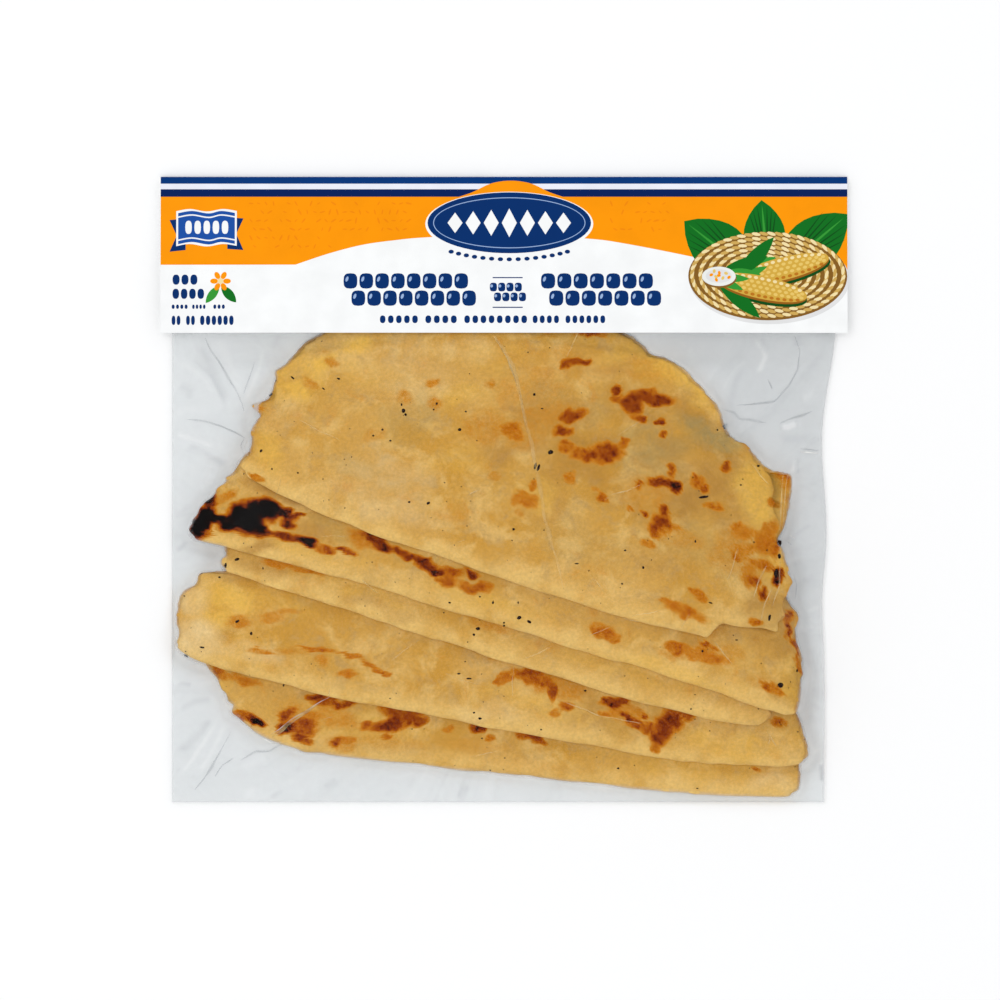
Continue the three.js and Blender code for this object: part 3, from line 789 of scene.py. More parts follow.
def dough_material():
    """Corn dough with the griddle's marks, a fine grain and a dull shine."""
    made, tree = new_material("baked_corn_dough")
    place = millimetres(tree)
    level = baked_level(tree, place)
    browned = ramp(tree, level, BROWNING_COLOURS)
    colour = blend(tree, spread(tree, level, 0.04, 0.28), dough_colour(tree, place), browned)
    grain = cloud(tree, place, 1.1, 4, 0.65)
    low = bump(tree, cloud(tree, place, 4.5, 4, 0.55), 0.4, 0.6)
    inputs = {
        "Base Color": shaded(tree, colour, spread(tree, grain, 0.25, 0.75, 0.87, 1.06)),
        "Roughness": spread(tree, level, 0.1, 0.7, 0.45, 0.62),
        "Specular IOR Level": 0.04,
        "Normal": bump(tree, grain, 0.15, 0.5, low),
    }
    surface(tree, inputs)
    return made


def char_material():
    """Burnt crumbs, black to dark brown."""
    made, tree = new_material("char_fleck")
    place = millimetres(tree)
    colour = blend(tree, cloud(tree, place, 0.5), srgb(8, 4, 3), srgb(44, 22, 12))
    normal = bump(tree, cloud(tree, place, 0.4), 0.1, 0.6)
    inputs = {"Base Color": colour, "Roughness": 0.5, "Specular IOR Level": 0.1, "Normal": normal}
    surface(tree, inputs)
    return made


FILM_WHITE = srgb(219, 224, 226)
FILM_GREY = srgb(203, 207, 209)
FILM_SHADE = srgb(175, 180, 184)
HAZE = 0.44  # how much of the film is milky where its layers are welded
DENSER = 0.08  # how much more of it is at the right


def film_material():
    """Clear film: a haze where its layers are welded, with painted shade and painted highlight on its
    folds and steep slopes.
    """
    made, tree = new_material("vacuum_film")
    place = millimetres(tree)
    margin = field(tree, "haze")
    facing = field(tree, "facing")
    crumple = bump(tree, cloud(tree, place, 9, 3, 0.5, 0.6), 0.5, 0.35)
    fine = bump(tree, cloud(tree, place, 1.6, 3, 0.5, 0.3), 0.06, 0.4, crumple)
    clouding = spread(tree, cloud(tree, place, 14, 3, 0.5, 0.8), 0.25, 0.75, 0.92, 1.08)
    haze = maths(tree, "MULTIPLY", margin, clouding, True)
    milk_and_painted_light = blend(tree, spread(tree, margin, HAZE, HAZE + DENSER), FILM_WHITE, FILM_GREY)
    # Painted shade and painted highlight: the milk is greyed or whitened by how the folds face the light
    milk_and_painted_light = blend(tree, spread(tree, facing, 0, -1, 0, 1), milk_and_painted_light, FILM_SHADE)
    milk_and_painted_light = blend(tree, spread(tree, facing, 0, 1, 0, 0.5), milk_and_painted_light, (1, 1, 1, 1))
    clear = node(tree, "BsdfTransparent").outputs[0]
    milky = node(
        tree, "BsdfPrincipled",
        {"Base Color": milk_and_painted_light, "Roughness": 0.45, "Specular IOR Level": 0.2, "Normal": crumple},
    ).outputs[0]
    body = node(tree, "MixShader", {0: haze, 1: clear, 2: milky}).outputs[0]
    gloss = node(tree, "BsdfGlossy", {"Color": (1, 1, 1, 1), "Roughness": 0.2, "Normal": fine}).outputs[0]
    mirror = node(tree, "Fresnel", {"IOR": 1.11, "Normal": fine}).outputs[0]
    output(tree, node(tree, "MixShader", {0: mirror, 1: body, 2: gloss}).outputs[0])
    return made


def crease_material(name, colour, thin, thick):
    """A fold of the film painted as a soft streak of highlight, sheen or shade, of an opacity that varies
    from thin to thick.
    """
    made, tree = new_material(name)
    place = millimetres(tree)
    opacity = spread(tree, cloud(tree, place, 5, 3), 0.3, 0.7, thin, thick)
    opacity = maths(tree, "MULTIPLY", opacity, field(tree, "crest"))
    inputs = {"Base Color": colour, "Roughness": 0.35, "Specular IOR Level": 0.2, "Alpha": opacity}
    surface(tree, inputs)
    return made


UNEVEN_INK = 0.03  # how much paler or darker a print is in places


def ink_material(name, colour):
    """Coated card printed in one colour, a little uneven."""
    made, tree = new_material(name)
    place = millimetres(tree)
    value = spread(tree, cloud(tree, place, 9, 4), 0.25, 0.75, 1 - UNEVEN_INK, 1 + UNEVEN_INK)
    normal = bump(tree, cloud(tree, place, 0.7, 2), 0.02, 0.4)
    tone = shaded(tree, colour, value)
    inputs = {"Base Color": tone, "Roughness": 0.5, "Specular IOR Level": 0.05, "Normal": normal}
    surface(tree, inputs)
    return made


def floor_material():
    """A plain pale floor."""
    made, tree = new_material("pale_floor")
    place = millimetres(tree)
    colour = blend(tree, cloud(tree, place, 300, 2), (0.93, 0.93, 0.93, 1), (0.95, 0.95, 0.95, 1))
    surface(tree, {"Base Color": colour, "Roughness": 0.9})
    return made


# The flatbreads

# A rim's profile in two leaves, from the underside up: inset, and share of the thickness
RIM_PROFILE = [
    (2.2, 0), (0.9, 0.04), (0.25, 0.13), (0, 0.26), (0.3, 0.38), (1.2, 0.46), (1.5, 0.49), (1.3, 0.52),
    (0.35, 0.57), (0.05, 0.66), (0, 0.77), (0.3, 0.88), (1, 0.95), (1.9, 0.985), (3, 1),
]
MEAN_RETREAT = 0.7  # how far the upper leaf ends inside the lower one
RIM_TONED = 3.5  # how far in from the rim its colour reaches
FOLD_TONED = (1, 10)  # from where to where in from the fold its paler colour fades, partly unbrowned dough and partly a painted highlight


def profiles(x, y, fold_share, index):
    """Insets and heights up a flatbread's edge, round at the fold and in two leaves at the rim."""
    retreat = np.maximum(MEAN_RETREAT + noises(x, y, LEAF_RETREAT, index), 0)
    last = len(RIM_PROFILE) - 1
    for k, (inset, share) in enumerate(RIM_PROFILE):
        angle = math.pi * (k / last - 0.5)
        fold_inset, fold_height = FOLD_REACH * (1 - math.cos(angle)), (1 + math.sin(angle)) / 2
        upper_leaf = k >= last / 2
        rim_inset = inset + upper_leaf * retreat
        yield (
            fold_inset * fold_share + rim_inset * (1 - fold_share),
            fold_height * fold_share + share * (1 - fold_share),
            not upper_leaf,
        )


def flatbread_points(index):
    """Points of a flatbread's skin: underside, edge and top, as rings between two centre points."""
    bread = FLATBREADS[index]
    angles = even_angles(bread)
    cx, cy = star_centre(bread)
    edge_x, edge_y = outline(bread, angles, 0)
    fold_gap, rim_gap, _ = gaps(bread, edge_x, edge_y)
    fold_share = step(-3, 3, rim_gap - fold_gap)
    ragged, wavy = (noises(edge_x, edge_y, layers, index) for layers in (RAGGED_RIM, WAVY_FOLD))
    uneven = ragged * (1 - fold_share) + wavy * fold_share + torn(index, edge_x, edge_y)
    edge = []
    for inset, share, lower in profiles(edge_x, edge_y, fold_share, index):
        x, y = outline(bread, angles, inset + uneven, lower)
        edge.append((x, y, layer_height(index, x, y, share)))

    def inner_ring(ring, scale, share):
        x, y = cx + (ring[0] - cx) * scale, cy + (ring[1] - cy) * scale
        return x, y, layer_height(index, x, y, share)

    underside = [inner_ring(edge[0], scale, 0) for scale in UNDER_RINGS]
    top = [inner_ring(edge[-1], 1 - k / TOP_RINGS, 1) for k in range(1, TOP_RINGS)]
    centre = np.array([cx]), np.array([cy])
    rings = [(*centre, layer_height(index, *centre, 0))] + underside + edge + top
    rings.append((*centre, layer_height(index, *centre)))
    return np.concatenate([np.stack(ring, axis=1) for ring in rings])


def flatbread(index, dough):
    """One folded flatbread, with the fields that colour its dough."""
    points = flatbread_points(index)
    x, y, _ = points.T
    beneath = np.arange(len(points)) <= len(UNDER_RINGS) * SIDES
    fold_gap, rim_gap, _ = gaps(FLATBREADS[index], x, y)
    made = piece(
        f"flatbread_{index + 1}", points, ring_faces((len(points) - 2) // SIDES, SIDES), [dough],
        bake=np.where(beneath, under_browning(index, x, y), browning(index, x, y)),
        rim=1 - step(0, RIM_TONED, rim_gap),
        fold_edge=1 - step(*FOLD_TONED, fold_gap),
        **tones(index, x, y),
    )
    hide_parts("pouch")


def pile_top(x, y):
    """Height of the topmost flatbread at each point, or 0 beside the pile."""
    x, y = np.asarray(x, dtype=float), np.asarray(y, dtype=float)
    top = np.zeros_like(x)
    for index, bread in enumerate(FLATBREADS):
        depth = depth_inside(bread, x, y)
        fold, rim, _ = gaps(bread, x, y)
        reach = np.where(fold < rim, FOLD_REACH, RIM_REACH)
        share = 0.5 + 0.5 * np.sqrt(np.maximum(1 - (1 - np.clip(depth / reach, 0, 1)) ** 2, 0))
        top = np.where(depth > 0, layer_height(index, x, y, share), top)
    return top


# Flecks of char, in pixels of the photo: place, length and width, with their turn
FLECKS = [
    (535, 466, 3, 7.5, -15), (538.2, 468, 3, 8, -15), (550.5, 452.5, 6, 5, 20), (703, 497, 12, 3, 8),
    (724, 427, 4, 7, -40), (642, 567, 3, 3, 0), (778.5, 543, 4.5, 6, 0), (778.5, 556, 3.5, 5, 0),
    (775, 573, 6, 10, -10), (768, 617, 3, 8, -8), (404, 411, 4, 5, 0), (402, 405, 2, 3, 0),
    (406, 415, 3, 3, 0), (437, 404, 2.5, 3, 0), (434, 410, 2, 2, 0), (383, 430, 2.5, 2.5, 0),
    (374, 436, 2.5, 2, 0), (391, 441, 2.5, 2, 0), (460, 430, 4, 3.5, 0), (293, 378, 5, 2, -40),
    (339, 379, 4, 2, -20), (324, 389, 4, 1.5, -40), (270, 394, 4, 2, 40), (256, 426, 3, 3, 0),
    (262, 451, 3, 4, -30), (234, 478, 5, 4, 20), (273, 469, 2, 2, 0), (299, 473, 2, 2, 0),
    (410, 502, 3, 2, 0), (429, 503, 4, 3, 40), (514, 529, 2, 2, 0), (477, 441, 1.5, 1.5, 0),
    (466, 412, 2.5, 2, 0), (534, 395, 3, 3.5, 0), (542, 409, 3, 1.5, 0), (513, 529, 2, 3, 0),
    (576, 563, 5, 1.5, 0), (624, 550, 3, 2, 0), (694, 541, 2, 3, 0), (766, 550, 2, 2, 0),
    (753, 542, 2, 2, 0), (758, 466, 3, 2, 0), (717, 430, 2, 2, 0), (740, 485, 2.5, 2, 0),
    (698, 491, 1.5, 1.5, 0), (621, 583, 2, 2, 0), (709, 602, 5, 1.5, -20), (519, 617, 5, 4, 20),
    (529, 621, 6, 3, -35), (493, 602, 2.5, 3, 0), (480, 596, 2, 2, 0), (450, 602, 3, 2, 0),
    (504, 625, 2, 2, 0), (518, 602, 1.5, 3, 0), (238, 559, 6, 3, 20), (226, 564, 4, 7, 10),
    (220, 577, 3, 2, 0), (264, 568, 1.5, 3, 0), (478, 628, 5, 4, 0), (474, 634, 3, 3, 0),
    (504, 622, 2, 2, 0), (202, 574, 4, 2, 20), (238, 621, 5, 3, 30), (252, 633, 3, 4, 0),
    (185, 656, 5, 2, -30), (203, 647, 6, 2, -10), (459, 673, 4, 2, 0), (469, 678, 6, 2, 0),
    (585, 690, 3, 2, 0), (541, 729, 2, 2, 0), (482, 738, 2, 2, 0), (284, 685, 2, 3, 0),
    (474, 712, 3, 2, 0), (480, 718, 4, 3, 0), (779, 684, 6, 6, 0), (701, 650, 2.5, 3, 0),
    (735, 639, 3, 1.5, 0), (796, 670, 2, 3, 0), (697, 788, 3, 1.5, 0), (690, 708, 2, 2, 0),
    (618, 768, 3, 2, 0), (230, 481, 4, 2, 20),
]
PHOTO_SCALE = 0.36  # millimetres for each pixel of the photo
PHOTO_MIDDLE = (504, 489.5)  # the pixel over the pack's origin
STRAY_FLECKS = 230
STRAY_RANGES = [(-115, 110), (-108, 70), (0.25, 0.7), (0.2, 0.5), (0, 180)]  # place, size and turn
FLECK_SEED = 7
FLECK_SIDES = 9
FLECK_TOP = 0.14
FLECK_RINGS = [(0.1, 0.85), (-0.2, 1.15)]  # height over the dough and share of the size
FLECK_RAGGED = (0.75, 1.15)  # how much smaller or larger a fleck is at its corners
FLECK_DRAPE = 0.5  # how far a fleck hangs down over an edge
PILE_MIDDLE = (-4, -30)
SEARCH_REACH = 6
SEARCH_STEP = 0.5


def on_pack(pixel_x, pixel_y):
    """The place on the pack that a pixel of the photo shows."""
    return (pixel_x - PHOTO_MIDDLE[0]) * PHOTO_SCALE, (PHOTO_MIDDLE[1] - pixel_y) * PHOTO_SCALE


def moved_onto_bread(x, y):
    """The place itself, or the first one towards the pile's middle that has bread under it."""
    far = math.hypot(PILE_MIDDLE[0] - x, PILE_MIDDLE[1] - y)
    steps = np.arange(0, SEARCH_REACH, SEARCH_STEP) / far
    xs, ys = x + steps * (PILE_MIDDLE[0] - x), y + steps * (PILE_MIDDLE[1] - y)
    found = int(np.argmax(pile_top(xs, ys) > 0))
    return xs[found], ys[found]


def fleck_places(draw):
    """Place, length, width and turn of each fleck: the ones above, and small strays on the dough."""
    flakes = [
        (*on_pack(px, py), length * PHOTO_SCALE, width * PHOTO_SCALE, turn)
        for px, py, length, width, turn in FLECKS
    ]
    strays = [[draw.uniform(*limits) for limits in STRAY_RANGES] for _ in range(STRAY_FLECKS)]
    on_bread = pile_top([stray[0] for stray in strays], [stray[1] for stray in strays]) > 0
    flakes += [stray for stray, held in zip(strays, on_bread) if held]
    return [(*moved_onto_bread(x, y), *size) for x, y, *size in flakes]


def fleck_points(draw, x, y, length, width, turn):
    """A fleck's points, its top and two rings, each as x, y and height over the dough."""
    points = [(x, y, FLECK_TOP)]
    for lift, scale in FLECK_RINGS:
        for k in range(FLECK_SIDES):
            around = 2 * math.pi * k / FLECK_SIDES
            size = scale * draw.uniform(*FLECK_RAGGED) / 2
            a, b = turned(length * size * math.cos(around), width * size * math.sin(around), turn)
            points.append((x + a, y + b, lift))
    return points


def fleck_faces(first):
    """Faces of a fleck whose points are numbered from first."""
    faces = []
    for near, far in neighbours(FLECK_SIDES, first + 1):
        faces.append((first, near, far))
        faces.append((near, near + FLECK_SIDES, far + FLECK_SIDES, far))
    faces.append(tuple(first + 2 * FLECK_SIDES - k for k in range(FLECK_SIDES)))
    return faces


def flecks():
    """Small irregular flakes with a domed top, lying in the flatbreads' skin."""
    draw = random.Random(FLECK_SEED)
    flakes = [fleck_points(draw, *flake) for flake in fleck_places(draw)]
    faces = [face for k in range(len(flakes)) for face in fleck_faces(k * len(flakes[0]))]
    x, y, lifts = np.concatenate(flakes).T
    heights = pile_top(x, y).reshape(len(flakes), -1)
    heights = np.clip(heights, heights[:, :1] - FLECK_DRAPE, heights[:, :1] + FLECK_DRAPE).ravel()
    made = piece("char_flecks", np.stack([x, y, heights + lifts], axis=1), faces, [char_material()])
    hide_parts("pouch")


# The film

FILM_COLUMNS = 290
FILM_ROWS = 268
FILM_SLOPE = 2.4  # how steeply the film can fall
FILM_TENT = 26  # how far from a step the film can stay off what it covers
ROUNDING_PASSES = 8
TORN_WIDER = 0.8  # how much wider than a torn bit the film lies over it
BACK_SPACING = 4.5  # of the back film's inner points
BACK_INSET = 3  # how far they start from its left and bottom edges
BACK_CLEARANCE = 1.5  # and how near they come to the others
BACK_LOW = 0.06  # height of the back film under the pile
BACK_LIFT = MARGIN_BASE - 0.2  # how far the back film rises beside the pile
BACK_FADE = 9  # how far beside the pile it has risen in full
CLEAR = 0.002  # the haze over the dough
BACK_CLEAR = 0.01
WRAP_DEPTHS = [-1.8, -1.1, 0.4, 2.4]  # inside a flatbread's edge
WRAP_SHARES = [0, 0.35, 0.8, 1]  # of its thickness, which the film has climbed there
MARGIN_TOP = MARGIN_BASE + 0.45  # height of the front film beside the pile, without folds
PAINTED_FOLD_CONTRAST = 1.1  # how strongly a fold's slope is painted pale or dark, as painted light and shade
PAINTED_FOLD_LIGHT = (0.6, -0.8)  # the slope that is painted pale, as if lit; the other way is painted dark
FOLD_HEIGHT = 0.55  # of a pale fold, for each millimetre of its half width
FOLD_TAPER = 0.2  # share of a fold's length over which it fades at each end
LOWEST_FOLD = -0.33
LOW_ROUNDING = 0.12  # how softly the folds level out at their lowest
FREE_REACH = 3  # how far beside the pile the folds reach their full height
TONED_REACH = 2  # and their full painted shade and highlight
EDGE_REACH = 4  # how far in from the cut edges the folds reach their full height
EDGE_SHARE = 0.4  # how much of its folds' height the film keeps at its cut edge
LEAST_THICKNESS = 0.03  # how far over the margin's base the front film stays
HELD_REACH = 14  # how far below the card's edge the film starts to rise to it
HELD_BESIDE = 10  # how far inside its sides the film rises to the card in full
HELD_BELOW = 0.25  # how far under the flap the risen film is
UNDER_CARD = 0.12  # the least gap between the film and the flap
PAINTED_SHEEN_WHITE = 0.5  # how much whiter the film is painted where it falls steeply, a painted sheen
PAINTED_SHEEN_SLOPES = (0.3, 1.8)
PAINTED_SHEEN_REACH = 1.5
WELDED = (-0.9, 0.7)  # from where to where outside the pile the film turns hazy
DENSER_ACROSS = (20, 105)  # from where to where the haze grows denser
DENSER_UP = (-90, -10)


def right_edge(y):
    """X of the pouch's cut right edge."""
    xs, ys = np.array(POUCH_RIGHT_EDGE[::-1]).T
    slopes = np.gradient(xs, ys)
    k = np.clip(np.searchsorted(ys, y) - 1, 0, len(ys) - 2)
    span = ys[k + 1] - ys[k]
    t = (y - ys[k]) / span
    return (
        xs[k] * (2 * t**3 - 3 * t**2 + 1)
        + slopes[k] * span * (t**3 - 2 * t**2 + t)
        + xs[k + 1] * (3 * t**2 - 2 * t**3)
        + slopes[k + 1] * span * (t**3 - t**2)
    )


def flap_height(x, y):
    """Height of the front flap's inner face, as in the CAD model."""
    level = MARGIN_BASE + MARGIN_THICKNESS + CARD_GAP
    past = np.maximum(np.abs(x - CLIMB_MIDDLE) - CLIMB_HALF_WIDTH, 0)
    share = 1 + (CLIMB_SIDE_SHARE - 1) * step(0, CLIMB_FALL, past)
    return level + FLAP_RISE * share * step(0, CLIMB_START - CLIMB_END, CLIMB_START - y)


def pile_depth(x, y):
    """Distance inside the whole pile's outline, negative outside."""
    depths = []
    for index, bread in enumerate(FLATBREADS):
        depths.append(depth_inside(bread, x, y, True) - torn(index, x, y))
    return np.max(depths, axis=0)


def drawn_tight(x, y):
    """Height of the film over the pile, falling steeply outwards from every rim, before it bridges."""
    top = np.full_like(x, MARGIN_TOP)
    for index, bread in enumerate(FLATBREADS):
        depth = depth_inside(bread, x, y, True) - torn(index, x, y, TORN_WIDER)
        share = np.interp(depth, WRAP_DEPTHS, WRAP_SHARES)
        raised = layer_height(index, x, y, share, FILM_LIFT)
        top = np.maximum(top, raised - FILM_SLOPE * np.maximum(WRAP_DEPTHS[0] - depth, 0))
    return top


def shifted(heights, rows, columns):
    """The grid moved by whole cells, with its border repeated."""
    padded = np.pad(heights, 1, mode="edge")
    return padded[1 + rows : 1 + rows + heights.shape[0], 1 + columns : 1 + columns + heights.shape[1]]


def bridged(heights, cell):
    """Tents the film out from every step, so that it falls no steeper than its slope."""
    moves = [(r, c) for r in (-1, 0, 1) for c in (-1, 0, 1) if r or c]
    for _ in range(int(FILM_TENT / cell)):
        lowered = [shifted(heights, r, c) - FILM_SLOPE * cell * math.hypot(r, c) for r, c in moves]
        heights = np.maximum(heights, np.max(lowered, axis=0))
    return heights


def smoothed(heights, floor):
    """Rounds the film's corners, above what it covers."""
    for _ in range(ROUNDING_PASSES):
        around = sum(shifted(heights, r, c) for r in (-1, 0, 1) for c in (-1, 0, 1)) / 9
        heights = np.maximum(around, floor)
    return heights


def near_line(x, y, points, width):
    """How near each place is to a line of points, from 1 on it to 0 beside it and at its ends."""
    line = np.array(points, dtype=float)
    lengths = np.hypot(*np.diff(line, axis=0).T)
    total, before = lengths.sum(), np.concatenate([[0], np.cumsum(lengths)])
    nearest, along = np.full_like(x, np.inf), np.zeros_like(x)
    for start, end, length, behind in zip(line[:-1], line[1:], lengths, before):
        way = (end - start) / length
        t = np.clip((x - start[0]) * way[0] + (y - start[1]) * way[1], 0, length)
        distance = np.hypot(x - start[0] - t * way[0], y - start[1] - t * way[1])
        along = np.where(distance < nearest, (behind + t) / total, along)
        nearest = np.minimum(distance, nearest)
    ends = step(0, FOLD_TAPER, along) * step(0, FOLD_TAPER, 1 - along)
    return ends * np.exp(-((nearest / width) ** 2))


# Soft folds of the margin: points, half width, and painted tone from -1 for painted shade to 1 for
# painted highlight
MARGIN_FOLDS = [
    ([(-110.5, 54.9), (-106.6, 46.6), (-102.6, 38.3), (-98.3, 30.4)], 2.2, -0.45),
    ([(-114.8, 47.7), (-110.5, 45.5), (-105.5, 40.5), (-101.2, 32.6), (-99, 27.5)], 1.1, -0.4),
    ([(-118.4, 46.3), (-113.4, 44.1), (-107.6, 39.8), (-103.3, 32.6)], 1.3, 0.45),
    ([(-117.4, 38), (-113, 35.5), (-113.8, 31.5)], 2, -0.45),
    ([(-115.6, 16), (-109.1, 14.6), (-103.3, 11), (-99, 7.4)], 1.8, -0.5),
    ([(-119.2, 20.3), (-114.1, 18.9), (-108.4, 16.7), (-103.3, 14.9)], 1, 0.6),
    ([(-103.7, 56.3), (-98.3, 43.7), (-94.3, 32.9)], 2.4, 0.4),
    ([(-86, 52), (-88.2, 43.4), (-91.8, 34.7), (-93.2, 30.4)], 1, 0.5),
    ([(-80.3, 56.3), (-83.2, 50.2)], 1.6, -0.3),
    ([(-118.8, 5.6), (-113, 7), (-107.3, 4.9)], 3, 0.25),
    ([(-119.5, 27.5), (-113, 28.6), (-104, 26.5)], 2, 0.3),
    ([(-118.8, -11), (-115.2, -8.1), (-113, -3.8)], 1.6, -0.25),
    ([(-118.4, -22.9), (-115.2, -20), (-111.6, -17.1)], 1.2, -0.4),
    ([(-102.2, -80.8), (-105.5, -86.6), (-108.4, -91.6), (-114.8, -100.3), (-118.1, -103.9)], 1.1, 0.7),
    ([(-104, -81.5), (-108.4, -86.9), (-113.8, -91.6), (-118.4, -95.2)], 2.2, -0.5),
    ([(-112, -94.5), (-115.2, -99.2), (-118.1, -102.4)], 1.1, -0.5),
    ([(-99.7, -82.3), (-101.9, -88), (-106.2, -96.7), (-110.9, -103.9)], 1.1, 0.5),
    ([(-117.7, -68.9), (-112, -70)], 1.2, -0.45),
    ([(-117.7, -79.4), (-111.2, -76.5), (-104, -75.4)], 1.5, -0.5),
    ([(-94, -101), (-89.3, -97.4), (-84.2, -96.3)], 1.8, 0.3),
    ([(-74.5, -98.5), (-73.4, -104.6)], 2.4, -0.25),
    ([(-84.6, -111.1), (-79.2, -107.1)], 1.6, -0.35),
    ([(-65.2, -107.5), (-59.8, -104.2)], 1.6, -0.35),
    ([(-91.4, -106.7), (-90.7, -111.8)], 2.2, 0.35),
    ([(-43.2, -110.3), (-38.9, -107.5)], 1.4, -0.3),
    ([(-34.2, -108.2), (-31, -103.9)], 2.2, -0.25),
    ([(-17.6, -110.3), (-12.2, -106.7)], 2.4, -0.3),
    ([(89.3, 54.9), (92.9, 50.6), (94, 47.7), (92.2, 43.4), (90, 41.6)], 1, 0.8),
    ([(91.8, 54.9), (95, 49.1)], 1.6, -0.5),
    ([(105.5, 56), (105.8, 50.9)], 2.4, -0.5),
    ([(87.8, 47.3), (82.1, 41.9), (79.2, 36.9), (77.4, 34.7)], 1.2, 0.5),
    ([(86.8, 46.3), (83.5, 39.1), (81.4, 31.1), (83.5, 25.7), (85, 20.7)], 1.8, -0.45),
    ([(99.4, 22.5), (102.2, 22.5), (105.8, 23.9)], 1.2, 0.9),
    ([(97.2, 18.9), (106.6, 17.8), (114.1, 18.5)], 2.4, -0.45),
    ([(107.6, 37.6), (110.9, 42.3), (113, 50.2)], 4, -0.2),
    ([(104.8, 11.7), (103.7, 5.2)], 0.9, 0.6),
    ([(106.2, 11.7), (105.5, 5.2)], 0.9, -0.45),
    ([(104, -16.4), (110.9, -12.1)], 1.1, -0.4),
    ([(102.6, -4.9), (101.5, -14.2)], 1.1, 0.3),
    ([(107.3, 32.2), (110.9, 33.7), (113, 32.2)], 2, 0.3),
    ([(106.6, -32.6), (112.3, -30.8)], 1.4, -0.3),
    ([(108.7, -44.1), (113.8, -41.9)], 1.4, 0.35),
    ([(109.4, -57.8), (113.8, -54.2)], 1.4, 0.3),
    ([(108.7, -75.8), (113.8, -80.1)], 1.6, -0.25),
    ([(110.2, -94.5), (114.5, -93.1)], 1.4, 0.35),
    ([(114.1, -98.1), (114.5, -105.7)], 0.9, -0.9),
]

# Folds that run outwards from the pile: how many, how much they drift with distance, height and seed
RADIAL_FOLDS = [(7, 0.016, 1.15, 151), (13, 0.03, 0.5, 152), (22, 0.05, 0.3, 153)]
DRIFT_DOWN = 0.6  # how much of the drift is along y
FOLD_LEVEL = 0.35  # the noise at which a fold is level with the plane


def radial_folds(x, y):
    """Sharp-edged folds that run outwards from the pile all around, as a height over the plane."""
    dx, dy = x - PILE_MIDDLE[0], y - PILE_MIDDLE[1]
    away = np.maximum(np.hypot(dx, dy), 1)
    height = np.zeros_like(x)
    for turns, drift, size, seed in RADIAL_FOLDS:
        u, v = dx / away * turns + away * drift, dy / away * turns - away * drift * DRIFT_DOWN
        height = height + size * (FOLD_LEVEL - np.abs(noise(u, v, 1, seed)))
    return height


def wrinkles(x, y, cell):
    """The margin's folds: their height over its plane, and their painted shade and highlight."""
    height = radial_folds(x, y) + noises(x, y, MARGIN_SWELL)
    slope_y, slope_x = np.gradient(height, cell)
    # Painted light: the side of a fold that faces the light is painted pale, the other side dark
    tone = PAINTED_FOLD_CONTRAST * (PAINTED_FOLD_LIGHT[0] * slope_x + PAINTED_FOLD_LIGHT[1] * slope_y)
    for line, width, shade in MARGIN_FOLDS:
        share = shade * near_line(x, y, line, width)
        height = height + FOLD_HEIGHT * width * np.maximum(share, 0)
        tone = tone + share
    rounded = LOWEST_FOLD + LOW_ROUNDING * np.logaddexp(0, (height - LOWEST_FOLD) / LOW_ROUNDING)
    return rounded, tone


def film_places():
    """X and Y of the front film's grid, which ends at the pouch's cut edges."""
    rows = np.linspace(-PACK_LENGTH / 2, POUCH_TOP, FILM_ROWS)
    shares = np.linspace(0, 1, FILM_COLUMNS)
    x = POUCH_LEFT + shares[None, :] * (right_edge(rows)[:, None] - POUCH_LEFT)
    return x, np.repeat(rows[:, None], FILM_COLUMNS, axis=1)


def front_film(x, y):
    """Heights of the front film, and its painted shade and highlight from -1 for dark to 1 for pale."""
    cell = y[1, 0] - y[0, 0]
    tight = drawn_tight(x, y)
    front = smoothed(bridged(tight, cell), tight)
    outside = np.maximum(-pile_depth(x, y), 0)
    beside = np.minimum(x - POUCH_LEFT, right_edge(y) - x)
    edge = np.minimum.reduce([beside, y + PACK_LENGTH / 2, POUCH_TOP - y])
    free = step(0, FREE_REACH, outside) * (EDGE_SHARE + (1 - EDGE_SHARE) * step(0, EDGE_REACH, edge))
    folds, tone = wrinkles(x, y, cell)
    front = front + free * folds + noises(x, y, FILM_GRAIN)
    steepness = np.hypot(*np.gradient(front, cell))
    # Painted sheen: the film is painted whiter where it falls steeply beside the pile
    painted_sheen = PAINTED_SHEEN_WHITE * step(*PAINTED_SHEEN_SLOPES, steepness) * step(0, PAINTED_SHEEN_REACH, outside)
    tone = tone * step(0, TONED_REACH, outside) + painted_sheen
    front = np.maximum(front, np.where(outside > 0, MARGIN_BASE + LEAST_THICKNESS, tight))
    rise = flap_height(x, np.maximum(y, CARD_EDGE)) - HELD_BELOW - MARGIN_TOP
    held = rise * step(0, HELD_BESIDE, beside) * (1 - step(0, HELD_REACH, CARD_EDGE - y))
    front = np.maximum(front, MARGIN_TOP + held)
    under_card = np.minimum(front, flap_height(x, y) - UNDER_CARD)
    return np.where(y > CARD_EDGE - 1, under_card, front), np.clip(tone, -1, 1)


def back_film(border):
    """Points and triangles of the back film inside its border, lifted beside the pile."""
    inner = [
        Vector((px, py))
        for py in np.arange(BACK_INSET - PACK_LENGTH / 2, POUCH_TOP - BACK_CLEARANCE, BACK_SPACING)
        for px in np.arange(
            POUCH_LEFT + BACK_INSET, right_edge(np.array([py])).item() - BACK_CLEARANCE, BACK_SPACING
        )
    ]
    around = neighbours(len(border))
    flat, _, triangles, *_ = delaunay_2d_cdt(border + inner, around, [], 1, TINY)
    x, y = np.array(flat).T
    beside = step(0, BACK_FADE, -pile_depth(x, y))
    over_card = card_room(y) / (CARD_THICKNESS + CARD_GAP)
    z = BACK_LOW + BACK_LIFT * np.maximum(beside, over_card)
    return np.stack([x, y, z], axis=1), triangles, around


